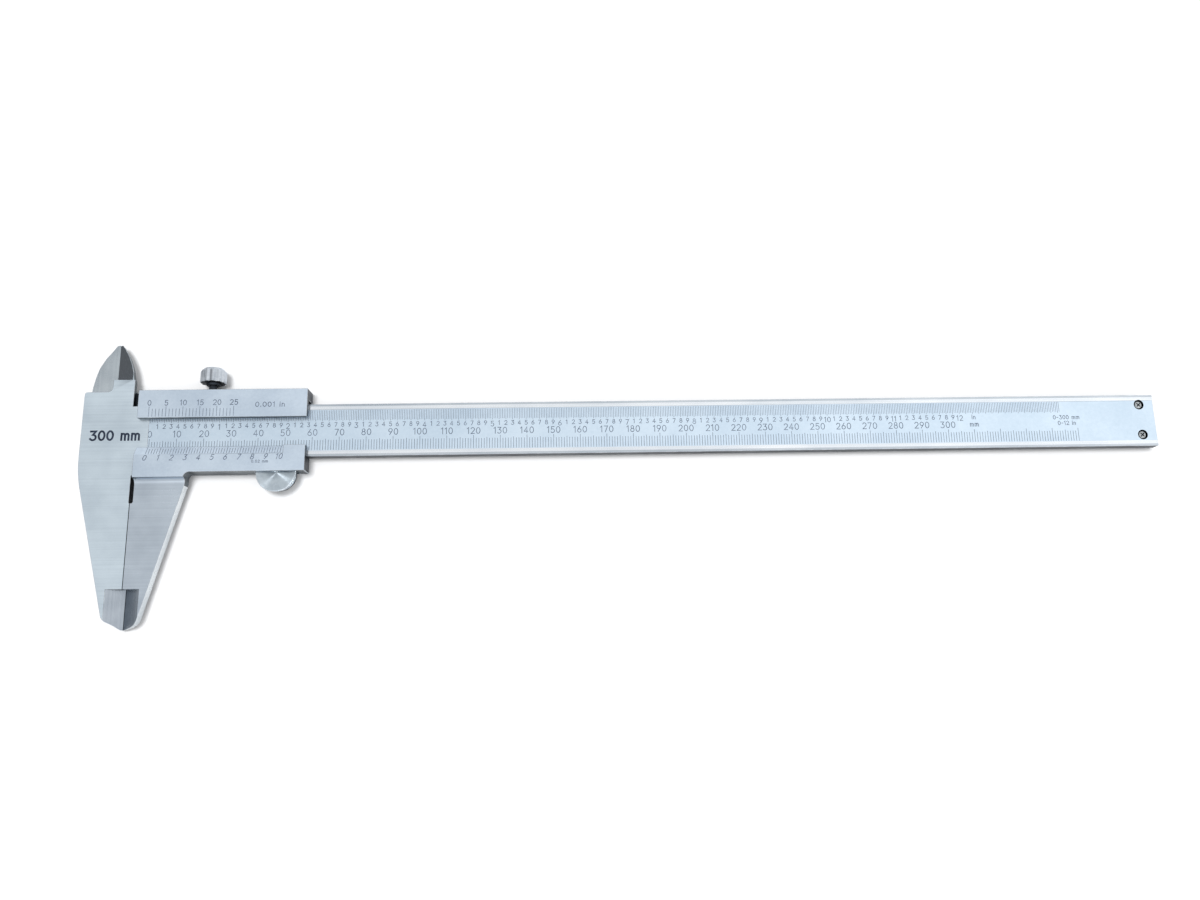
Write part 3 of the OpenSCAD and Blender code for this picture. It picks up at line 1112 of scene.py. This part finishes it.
@dataclass
class CrossScrew:
    """A pan-head screw with a cross recess, sunk in the front of the beam.

    Attributes:
        node: the CAD node it stands for.
        body: the body it moves with.
        head_radius: radius of the head, in millimetres.
        shank_radius: radius of the shank.
        head_height: height of the head.
        arm: half width and length of an arm of the recess.
        depth: depth of the recess.
        turn: how far the recess is turned, in degrees.
    """

    node: str
    body: str
    head_radius: float = 1.45
    shank_radius: float = 1.0
    head_height: float = 0.83
    arm: tuple[float, float] = (0.22, 0.95)
    depth: float = 0.5
    turn: float = 45.0

    def build(self) -> bpy.types.Object:
        """Builds the screw and seats it on its body.

        Returns:
            The screw.
        """
        low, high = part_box(self.node)
        foot, top = low.z / MM, high.z / MM
        under = top - self.head_height
        r, s = self.head_radius, self.shank_radius
        rounds = [
            (s - 0.15, foot), (s, foot + 0.15), (s, under), (r - 0.06, under), (r, under + 0.06),
            (r, top - 0.34), (r - 0.05, top - 0.2), (r - 0.16, top - 0.09), (r - 0.34, top - 0.02),
        ]
        recess = [(1.0, 0.0), (0.97, -0.05), (0.8, -self.depth)]
        angles = sorted({round(i * 360 / 72, 4) for i in range(72)} | set(self._corner_angles()))
        made = bmesh.new()
        rings = [
            [made.verts.new(self._spot(a, radius, height)) for a in angles] for radius, height in rounds
        ]
        for share, drop in recess:
            rings.append([
                made.verts.new(self._spot(a, self._arm_at(a) * share, top + drop)) for a in angles
            ])
        for lower, upper in zip(rings, rings[1:]):
            for i in range(len(angles)):
                j = (i + 1) % len(angles)
                made.faces.new((lower[i], lower[j], upper[j], upper[i]))
        made.faces.new(rings[0][::-1])
        floor = made.verts.new((0.0, 0.0, top - self.depth - 0.08))
        for i in range(len(angles)):
            made.faces.new((rings[-1][i], rings[-1][(i + 1) % len(angles)], floor))
        bmesh.ops.recalc_face_normals(made, faces=made.faces)
        # Faces inside the cross recess get the second material, painted shade.
        for face in made.faces:
            middle = face.calc_center_median()
            deep = middle.z > under and middle.xy.length < self.arm[1] and middle.z < top - 0.03
            face.material_index = 1 if deep else 0
        mesh = bpy.data.meshes.new(f"finished_{self.node}")
        made.to_mesh(mesh)
        made.free()
        middle = (low + high) / 2
        mesh.transform(Matrix.Translation((middle.x, middle.y, 0.0)) @ Matrix.Scale(MM, 4))
        mesh.materials.append(SCREW.material())
        mesh.materials.append(SCREW_RECESS_SHADE.material())
        split_sharp(mesh, 30.0)
        return seat(f"finished_{self.node}", mesh, self.body, [self.node])

    def _spot(self, angle: float, radius: float, height: float) -> Vector:
        """Returns the point at an angle, a radius and a height."""
        a = math.radians(angle)
        return Vector((radius * math.cos(a), radius * math.sin(a), height))

    def _corner_angles(self) -> list[float]:
        """Returns the angles of the recess's corners, in degrees."""
        tip = math.degrees(math.atan2(self.arm[0], self.arm[1]))
        return [
            round((self.turn + quarter + offset) % 360, 4)
            for quarter in (0, 90, 180, 270) for offset in (-tip, tip, 45.0)
        ]

    def _arm_at(self, angle: float) -> float:
        """Returns the radius of the recess's outline at an angle.

        Args:
            angle: the angle, in degrees.

        Returns:
            The radius, in millimetres.
        """
        half, length = self.arm
        off = abs((angle - self.turn + 45) % 90 - 45)
        if off <= math.degrees(math.atan2(half, length)) + 1e-6:
            return length / math.cos(math.radians(off))
        return half / math.sin(math.radians(off))


@dataclass
class Beam:
    """The graduated beam with the head, the fixed jaws and the stop at its free end.

    Attributes:
        front: front face above the table, in millimetres.
        field_low: lower edge of the graduated field.
        field_high: upper edge of the graduated field.
        field_start: left end of the graduated field.
        field_level: face of the graduated field above the table.
        zero: the zero lines of both scales.
        length: length of the scales.
        screws: places of the two end screws.
        relief: place of the relief at the foot of the fixed inside jaw.
    """

    front: float = 6.05
    field_low: float = 2.15
    field_high: float = 17.85
    field_start: float = 4.6
    field_level: float = 5.93
    zero: float = 5.21
    length: float = 350.0
    screws: tuple[Point, Point] = ((380.1, 4.4), (380.1, 16.2))
    relief: Point = (-9.0, 30.7)

    def build(self, rule: RuleTree) -> None:
        """Makes the beam, its scales and the stop.

        Args:
            rule: the tree that makes graduations.
        """
        # Faces that no zone names are side faces and carry painted shade.
        Machined(
            "beam", "frame", "satin_steel", PAINTED_SIDE_SHADE, edge_width=0.14,
            zones=[
                # Faces in the bores for the end screws and the walls of the relief get painted shade.
                (lambda p, n: self._off_bores(p) < 2.0 and 4 < p.z < 6, PAINTED_GAP_SHADE),
                (lambda p, n: self._off_relief(p) < 0.5 and abs(n.z) < 0.5, PAINTED_GAP_SHADE),
                (self._in_field, FIELD_SATIN),
                # Outer strips of the rails get painted shade; the rest of the rails get a painted
                # highlight.
                (lambda p, n: faces_up(n) and p.x > 4.5 and 9.1 < abs(p.y - 10) < 10, RAIL_EDGE_PAINTED_SHADE),
                (lambda p, n: faces_up(n) and p.x > 4.55 and 0 < p.y < 20, RAIL_PAINTED_LIGHT),
                (lambda p, n: faces_up(n) and p.z > 6, HEAD_STEEL),
                (lambda p, n: n.z > 0.2 and p.y < -40, HOLLOW_STEEL),
                (lambda p, n: n.z > 0.2 and p.y > 20, HOLLOW_STEEL),
                (lambda p, n: n.z < -0.9, PLATE),
                # Faces beside the gap between the outside jaws get painted shade.
                (lambda p, n: p.x > -1 and -17 < p.y < -6, PAINTED_GAP_SHADE),
                # Left-facing sides get the lit copy of the side steel as painted light; the lower side of
                # the beam gets deeper painted shade.
                (lambda p, n: n.x < -0.3, PAINTED_SIDE_LIGHT),
                (lambda p, n: n.y < -0.5 and p.x > 0 and abs(p.y) < 0.3, DEEP_SIDE_SHADE),
            ],
            crisp=lambda p: self._off_bores(p) < 2.3 or self._off_relief(p) < 0.9,
            # The planes at y 0.85 and 19.15 split each rail where its painted highlight meets its painted
            # shade.
            cuts=[
                (Vector((4.5, 0, 0)), Vector((1, 0, 0))),
                (Vector((0, 0.85, 0)), Vector((0, 1, 0))),
                (Vector((0, 19.15, 0)), Vector((0, 1, 0))),
            ],
            # Broken edges along the jaws' contact get painted shade.
            edge_zones=[(lambda p, n: abs(p.x) < 0.4 and p.y < -17, PAINTED_GAP_SHADE)],
        ).build()
        self._scales(rule)
        self._lettering()
        # Sides of the stop plate carry painted shade.
        Machined("end_stop_plate", "frame", "ground_steel", PLATE, edge_width=0.15,
                 zones=[(lambda p, n: abs(n.z) < 0.5, PAINTED_SIDE_SHADE)]).build()
        for node in ("end_stop_screw_upper", "end_stop_screw_lower"):
            CrossScrew(node, "frame").build()

    def _off_bores(self, point: Vector) -> float:
        """Returns how far a point is from the middle of the nearer bore for an end screw."""
        return min(math.hypot(point.x - x, point.y - y) for x, y in self.screws)

    def _off_relief(self, point: Vector) -> float:
        """Returns how far a point is from the relief at the foot of the fixed inside jaw."""
        return math.hypot(point.x - self.relief[0], point.y - self.relief[1])

    def _in_field(self, point: Vector, normal: Vector) -> bool:
        """Tells whether a face is the graduated field."""
        return faces_up(normal) and abs(point.z - self.field_level) < 0.02 and point.x > self.field_start

    def _scales(self, rule: RuleTree) -> None:
        """Lays out the metric and the inch lines.

        Args:
            rule: the tree that makes graduations.
        """
        Scale("millimetre_lines", "frame", "satin_steel", int(self.length) + 1, 1.0,
              (3.9, 4.3, 5.0), (5, 10), (self.zero, self.field_low + 0.2, self.field_level)).build(rule)
        Scale("inch_lines", "frame", "satin_steel", int(self.length / 0.635) - 9, 0.635,
              (3.8, 3.8, 4.2), (2, 4), (self.zero, self.field_high - 0.25, self.field_level),
              width=0.13, upwards=False).build(rule)

    def _lettering(self) -> None:
        """Writes the numerals and the plain capacity marks."""
        metric = Engraver(0.23)
        for value in range(0, 301, 10):
            metric.write(str(value), (self.zero + value, 9.15), 2.35, self.field_level)
        metric.write("mm", (315.4, 9.3), 1.7, self.field_level)
        metric.finish("millimetre_numerals", "frame", "satin_steel", SCALE_INK)
        inch = Engraver(0.2)
        for tenth in range(1, 120):
            if tenth % 10:
                inch.write(str(tenth % 10), (self.zero + 2.54 * tenth, 12.1), 1.6, self.field_level)
        for whole in range(1, 13):
            inch.write(str(whole), (self.zero + 25.4 * whole, 11.75), 1.95, self.field_level)
        inch.write("in", (315.4, 12.1), 1.6, self.field_level)
        inch.finish("inch_numerals", "frame", "satin_steel", SCALE_INK)
        capacity = Engraver(0.2)
        capacity.write("0-300 mm", (351.2, 11.6), 1.5, self.field_level)
        capacity.write("0-12 in", (351.2, 9.35), 1.5, self.field_level)
        capacity.finish("capacity_mark", "frame", "satin_steel", SCALE_INK)
        head = Engraver(0.74, gap=0.24)
        head.write("300 mm", (-7.45, 8.85), 3.4, self.front, stretch=1.06)
        head.finish("head_mark", "frame", "satin_steel", MARK_INK)


@dataclass
class Slider:
    """The slider with its moving jaws, cover plate, depth rod and verniers.

    Attributes:
        front: front face above the table, in millimetres.
        lip: edge of the lower lip above the lower edge of the beam.
        bevel_rise: height of the bevel under the metric vernier.
        bevel_run: width of that bevel.
        zero: the zero lines of both verniers.
    """

    front: float = 8.4
    lip: float = 4.1
    bevel_rise: float = 1.85
    bevel_run: float = 3.2
    zero: float = 5.21

    def build(self, rule: RuleTree) -> None:
        """Makes the slider and what is fixed to it.

        Args:
            rule: the tree that makes graduations.
        """
        # Faces that no zone names are side faces and carry painted shade.
        Machined(
            "slider_body", "slider", "slider_steel", PAINTED_SIDE_SHADE, edge_width=0.14,
            zones=[
                (lambda p, n: n.z > 0.5 and p.z > 6.2 and p.y > -8, SATIN),
                (lambda p, n: n.z > 0.2 and p.y < -47 and n.z < 0.99, HOLLOW_STEEL),
                (lambda p, n: n.z > 0.05 and p.y < -7, JAW_STEEL),
                # The top of the arm in the gap between head and slider gets painted shade.
                (lambda p, n: faces_up(n) and p.x > -2.6 and p.y > 20 and 3.8 < p.z < 4.1, PAINTED_GAP_SHADE),
                (lambda p, n: n.z > 0.2 and p.x < -2.6 and p.y > 20, BLADE_STEEL),
                (lambda p, n: abs(n.z) > 0.9, PLATE),
                # Faces beside the gap between the jaws get painted shade.
                (lambda p, n: p.x < 1.2 and -17 < p.y < -7, PAINTED_GAP_SHADE),
                # Sides of the upper blade and of the jaw get the lit copy of the side steel as painted
                # light; the slider's lower side and right end get deeper painted shade.
                (lambda p, n: p.x < -2.6, PAINTED_SIDE_LIGHT),
                (lambda p, n: p.y < -10, PAINTED_SIDE_LIGHT),
                (lambda p, n: n.y < -0.5 and -8 < p.y < -7, DEEP_SIDE_SHADE),
                (lambda p, n: n.x > 0.5 and p.x > 60, DEEP_SIDE_SHADE),
            ],
            cuts=[(Vector((-2.6, 0, 0)), Vector((1, 0, 0)))],
            edge_zones=[
                # Broken edges along the jaws' contact and along the lower lip get painted shade.
                (lambda p, n: abs(p.x) < 0.4 and p.y < -17, PAINTED_GAP_SHADE),
                (lambda p, n: abs(p.y + 7.6) < 0.3 and p.x < 19.6 and p.z > 8.2, PAINTED_SIDE_SHADE),
                (lambda p, n: abs(p.y - 0.9) < 0.3 and p.x < 52 and p.z > 8.1, SATIN),
            ],
        ).build()
        self._verniers(rule)
        Machined("slider_back_plate", "slider", "plate_steel", PLATE, edge_width=0.12,
                 crisp=lambda p: 2 < p.x < 62.6 and -6.7 < p.y < 24).build()
        for i in range(1, 5):
            # Screw slots get painted shade.
            Machined(f"back_plate_screw_{i}", "slider", "screw_steel", SCREW, edge_width=0.08,
                     zones=[(self._in_slot, SCREW_RECESS_SHADE)]).build()
        Machined("depth_rod", "slider", "ground_steel", ROD, edge_width=0.1).build()
        for i in (1, 2):
            Machined(f"depth_rod_rivet_{i}", "slider", "rivet_steel", SCREW, edge_width=0.15).build()

    @staticmethod
    def _in_slot(point: Vector, normal: Vector) -> bool:
        """Tells whether a face is in the slot of a screw put in from behind."""
        return 0.1 < point.z < 0.3

    def _verniers(self, rule: RuleTree) -> None:
        """Lays out both verniers with their numerals.

        Args:
            rule: the tree that makes graduations.
        """
        slope = math.atan2(self.bevel_rise, self.bevel_run)
        low = self.lip - self.bevel_run + 0.25
        level = self.front - 0.25 * math.tan(slope)
        Scale("metric_vernier_lines", "slider", "slider_steel", 51, 0.98, (2.5, 2.9, 3.2), (5, 5),
              (self.zero, low, level), tilt=-math.degrees(slope)).build(rule)
        Scale("inch_vernier_lines", "slider", "slider_steel", 26, 31.115 / 25, (3.0, 3.0, 3.9), (5, 5),
              (self.zero, 15.3, self.front)).build(rule)
        metric = Engraver(0.22)
        for i in range(11):
            metric.write(str(i), (self.zero + 4.9 * i - 0.15, -0.3), 1.95, self.front, slant=0.28)
        metric.width = 0.16
        metric.write("0.02 mm", (47.0, -2.1), 0.95, self.front, stretch=1.15)
        metric.finish("metric_vernier_numerals", "slider", "slider_steel", SCALE_INK)
        inch = Engraver(0.23)
        for i in range(0, 26, 5):
            inch.write(str(i), (self.zero + i * 31.115 / 25, 20.6), 1.95, self.front)
        inch.write("0.001 in", (49.7, 19.6), 1.75, self.front, stretch=1.2)
        inch.finish("inch_vernier_numerals", "slider", "slider_steel", SCALE_INK)


@dataclass
class Clamp:
    """The gib strip with its two screws and the lock screw that presses it.

    Attributes:
        flutes: number of flutes round the head of the lock screw.
        head_radius: radius of the head, in millimetres.
        shank_radius: radius of the shank.
        collar_radius: radius of the collar under the head.
        head_height: height of the head.
    """

    flutes: int = 12
    head_radius: float = 4.75
    shank_radius: float = 1.5
    collar_radius: float = 2.5
    head_height: float = 5.7

    def build(self, rule: RuleTree) -> None:
        """Makes the clamp.

        Args:
            rule: the tree that cuts flutes.
        """
        Machined("gib_strip", "gib", "gib_bronze", BRONZE, edge=BRONZE, edge_width=0.1).build()
        for side in ("left", "right"):
            # Screw slots get painted shade.
            Machined(f"gib_screw_{side}", "slider", "screw_steel", SCREW, edge_width=0.1,
                     zones=[(lambda p, n: 24.6 < p.y < 24.9, SCREW_RECESS_SHADE)]).build()
        self._lock_screw(rule)

    def _lock_screw(self, rule: RuleTree) -> None:
        """Turns the lock screw and cuts its flutes.

        Args:
            rule: the tree that cuts flutes.
        """
        low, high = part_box("lock_screw")
        foot = (low.y - DATUM.origin.y) / MM
        top = (high.y - DATUM.origin.y) / MM
        head = top - self.head_height
        r, s, c = self.head_radius - 0.02, self.shank_radius, self.collar_radius
        profile = [
            (0.0, foot), (s - 0.3, foot), (s, foot + 0.3), (s, head - 0.9), (c - 0.15, head - 0.88),
            (c, head - 0.7), (c, head + 0.02), (r - 0.5, head + 0.03), (r - 0.16, head + 0.12),
            (r, head + 0.42), (r, head + 1.6), (r, head + 3.0), (r, head + 4.35), (r - 0.16, head + 4.7),
            (r - 0.5, head + 4.9), (r - 0.85, head + 4.98), (r - 1.0, head + 5.5), (r - 1.25, top - 0.03),
            (r - 1.5, top - 0.01), (r - 1.9, top - 0.16), (1.0, top - 0.3), (0.0, top - 0.32),
        ]
        made = lathe(profile, self.flutes * 12)
        mesh = bpy.data.meshes.new("finished_lock_screw")
        made.to_mesh(mesh)
        made.free()
        mesh.transform(Matrix.Scale(MM, 4))
        # The Under Finish puts painted shade under the head and on the neck.
        result = rule.run(mesh, {
            "Count": float(self.flutes), "Depth": 0.46 * MM, "Sharpness": 1.3,
            "Inner Radius": (r - 0.9) * MM, "Outer Radius": (r - 0.1) * MM,
            "Finish": KNOB.material(), "Rim Finish": KNOB.material(),
            "Under Finish": KNOB_UNDER_SHADE.material(), "Neck Radius": (c + 0.1) * MM,
        })
        result.name = "finished_lock_screw"
        middle = (low + high) / 2
        turn = Matrix.Rotation(-math.pi / 2, 4, "X")
        result.transform(Matrix.Translation((middle.x, DATUM.origin.y, middle.z)) @ turn)
        split_sharp(result, 40.0)
        seat("finished_lock_screw", result, "lock", ["lock_screw"])


@dataclass
class ThumbWheel:
    """The thumb wheel with its axle and bracket.

    Attributes:
        teeth: number of teeth in the knurl.
        radius: radius of the knurled flange, in millimetres.
        hub_radius: radius of the hub that rolls on the beam.
        bore: radius of the hole for the axle.
        bore_top: closed end of that hole above the table.
        flange: lower and upper side of the flange above the table.
        dish_radius: radius of the ball that dishes the face.
    """

    teeth: int = 60
    radius: float = 7.5
    hub_radius: float = 5.87
    bore: float = 1.28
    bore_top: float = 5.6
    flange: tuple[float, float] = (6.15, 6.95)
    dish_radius: float = 23.05

    def build(self, rule: RuleTree) -> None:
        """Makes the wheel, its axle and its bracket.

        Args:
            rule: the tree that cuts teeth.
        """
        self._wheel(rule)
        Machined("thumb_wheel_axle", "slider", "ground_steel", ROD, edge_width=0.15).build()
        # Sides of the bracket carry painted shade.
        Machined("thumb_wheel_bracket", "slider", "plate_steel", PLATE, edge_width=0.12,
                 zones=[(lambda p, n: abs(n.z) < 0.5, PAINTED_SIDE_SHADE)]).build()
        for i in (1, 2):
            # Screw slots get painted shade.
            Machined(f"bracket_screw_{i}", "slider", "screw_steel", SCREW, edge_width=0.08,
                     zones=[(Slider._in_slot, SCREW_RECESS_SHADE)]).build()

    def _wheel(self, rule: RuleTree) -> None:
        """Turns the wheel and cuts its teeth.

        Args:
            rule: the tree that cuts teeth.
        """
        low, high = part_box("thumb_wheel")
        foot, top = low.z / MM, self.flange[1]
        under, r = self.flange[0], self.radius - 0.01
        centre = top + 22.0
        dish = [
            (x, centre - math.sqrt(self.dish_radius**2 - x**2))
            for x in (6.84, 6.4, 5.8, 5.2, 4.6, 4.0, 3.4, 2.8, 2.2, 1.6, 1.0, 0.5, 0.0)
        ]
        profile = [
            (0.0, self.bore_top), (self.bore, self.bore_top), (self.bore, foot + 0.1),
            (self.bore + 0.12, foot), (self.hub_radius - 0.2, foot),
            (self.hub_radius, foot + 0.2), (self.hub_radius, under), (r - 0.16, under),
            (r, under + 0.14), (r, under + 0.4), (r, top - 0.14), (r - 0.14, top - 0.01),
            (6.92, top), *dish,
        ]
        made = lathe(profile, self.teeth * 6)
        mesh = bpy.data.meshes.new("finished_thumb_wheel")
        made.to_mesh(mesh)
        made.free()
        mesh.transform(Matrix.Scale(MM, 4))
        result = rule.run(mesh, {
            "Count": float(self.teeth), "Depth": 0.3 * MM, "Sharpness": 1.2,
            "Inner Radius": (r - 0.5) * MM, "Outer Radius": (r - 0.1) * MM,
            "Finish": WHEEL.material(), "Rim Finish": SCREW.material(),
            "Under Finish": PLATE.material(), "Neck Radius": 0.0,
        })
        result.name = "finished_thumb_wheel"
        middle = (low + high) / 2
        result.transform(Matrix.Translation((middle.x, middle.y, 0.0)))
        split_sharp(result, 35.0)
        seat("finished_thumb_wheel", result, "wheel", ["thumb_wheel"])


# --- the studio ----------------------------------------------------------------------------------


@dataclass
class Studio:
    """The pale table, the soft light and the camera.

    Attributes:
        camera_place: place of the camera in the caliper's frame, in millimetres.
        camera_turn: turn of the camera about X, Y and Z, in degrees.
        lens: focal length for a sensor 36 mm wide, in millimetres.
        table: half the side of the table top, in metres.
    """

    camera_place: tuple[float, float, float] = (-21.475, -72.4, 369.6)
    camera_turn: tuple[float, float, float] = (12.78, -1.52, -1.09)
    lens: float = 29.844
    table: float = 2.5

    def build(self) -> None:
        """Sets up the whole studio."""
        self._floor()
        self._sky()
        self._lights()
        self._camera()
        bpy.context.scene.view_settings.view_transform = "Standard"

    def _floor(self) -> None:
        """Lays the table top just under the caliper."""
        made = bmesh.new()
        bmesh.ops.create_grid(made, x_segments=8, y_segments=8, size=self.table)
        mesh = bpy.data.meshes.new("table_top")
        made.to_mesh(mesh)
        made.free()
        mesh.transform(Matrix.Translation((0.0, 0.0, -2e-5)))
        mesh.materials.append(FloorPaint().material())
        floor = bpy.data.objects.new("table_top", mesh)
        bpy.context.scene.collection.objects.link(floor)

    def _sky(self) -> None:
        """Surrounds the scene with soft light, brighter on the right and from the front."""
        world = bpy.data.worlds.new("soft_room")
        bpy.context.scene.world = world
        world.use_nodes = True
        graph = Graph(world.node_tree)
        way = graph.node("ShaderNodeTexCoord").outputs["Generated"]
        parts = graph.node("ShaderNodeSeparateXYZ", None, {0: way}).outputs
        stops = [
            (0.02, 0.62), (0.10, 0.10), (0.19, 0.36), (0.275, 0.90), (0.38, 0.88), (0.50, 0.94),
            (0.625, 1.06), (0.745, 1.20), (0.85, 1.05), (1.00, 0.90),
        ]
        share = Signal(graph, parts[0]) * 0.5 + 0.5
        ramp = graph.node(
            "ShaderNodeValToRGB", {"stops": [(at, (v / 1.3, v / 1.3, v / 1.3, 1.0)) for at, v in stops]},
            {0: share},
        )
        front = (Signal(graph, parts[1]) * -1.0).step(0.05, 0.75)
        front = front * Signal(graph, parts[2]).step(0.4, 0.7)
        back = Signal(graph, parts[1]).step(0.45, 0.95)
        strength = (front * 0.55 + back * 0.15 + 1.0) * 1.3
        sky = graph.node(
            "ShaderNodeBackground", None, {"Color": ramp.outputs["Color"], "Strength": strength}
        )
        graph.node("ShaderNodeOutputWorld", None, {"Surface": sky.outputs["Background"]})

    def _lights(self) -> None:
        """Hangs one lamp over the table top and two low ones for the turned face of the wheel."""
        self._lamp("lamp_table", (-0.12, 0.09, 0.985), 2.7, 18.0, "table_top")
        self._lamp("lamp_left", (-0.80, -0.42, 0.42), 1.2, 16.0, "finished_thumb_wheel")
        self._lamp("lamp_right", (0.76, -0.50, 0.42), 3.2, 26.0, "finished_thumb_wheel")

    def _lamp(
        self, name: str, way: tuple[float, float, float], energy: float, size: float, lit: str
    ) -> None:
        """Hangs a distant lamp that lights one piece.

        Args:
            name: name of the lamp.
            way: direction towards the lamp.
            energy: its strength.
            size: the angle that it fills, in degrees.
            lit: the piece that it lights.
        """
        lamp = bpy.data.lights.new(name, "SUN")
        lamp.energy = energy
        lamp.angle = math.radians(size)
        made = bpy.data.objects.new(name, lamp)
        made.rotation_euler = Vector(way).to_track_quat("Z", "Y").to_euler()
        group = bpy.data.collections.new(f"lit_by_{name}")
        group.objects.link(bpy.data.objects[lit])
        made.light_linking.receiver_collection = group
        bpy.context.scene.collection.objects.link(made)

    def _camera(self) -> None:
        """Sets the camera over the table."""
        data = bpy.data.cameras.new("camera")
        data.lens = self.lens
        data.sensor_width = 36.0
        data.clip_start = 0.01
        data.clip_end = 20.0
        camera = bpy.data.objects.new("camera", data)
        camera.location = Vector(self.camera_place) * MM
        camera.rotation_euler = tuple(math.radians(a) for a in self.camera_turn)
        bpy.context.scene.collection.objects.link(camera)
        bpy.context.scene.camera = camera


def corners(box: Sequence[Sequence[float]]) -> list[list[float]]:
    """Turns a box into plain lists."""
    return [[float(value) for value in corner] for corner in box]


def main() -> None:
    """Builds the caliper and the studio."""
    logging.basicConfig(level=logging.INFO, format="%(name)s: %(message)s")
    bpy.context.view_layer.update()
    lines, flutes = graduation_tree(), flute_tree()
    Beam().build(lines)
    Slider().build(lines)
    Clamp().build(flutes)
    ThumbWheel().build(flutes)
    Studio().build()


if __name__ == "__main__":
    main()
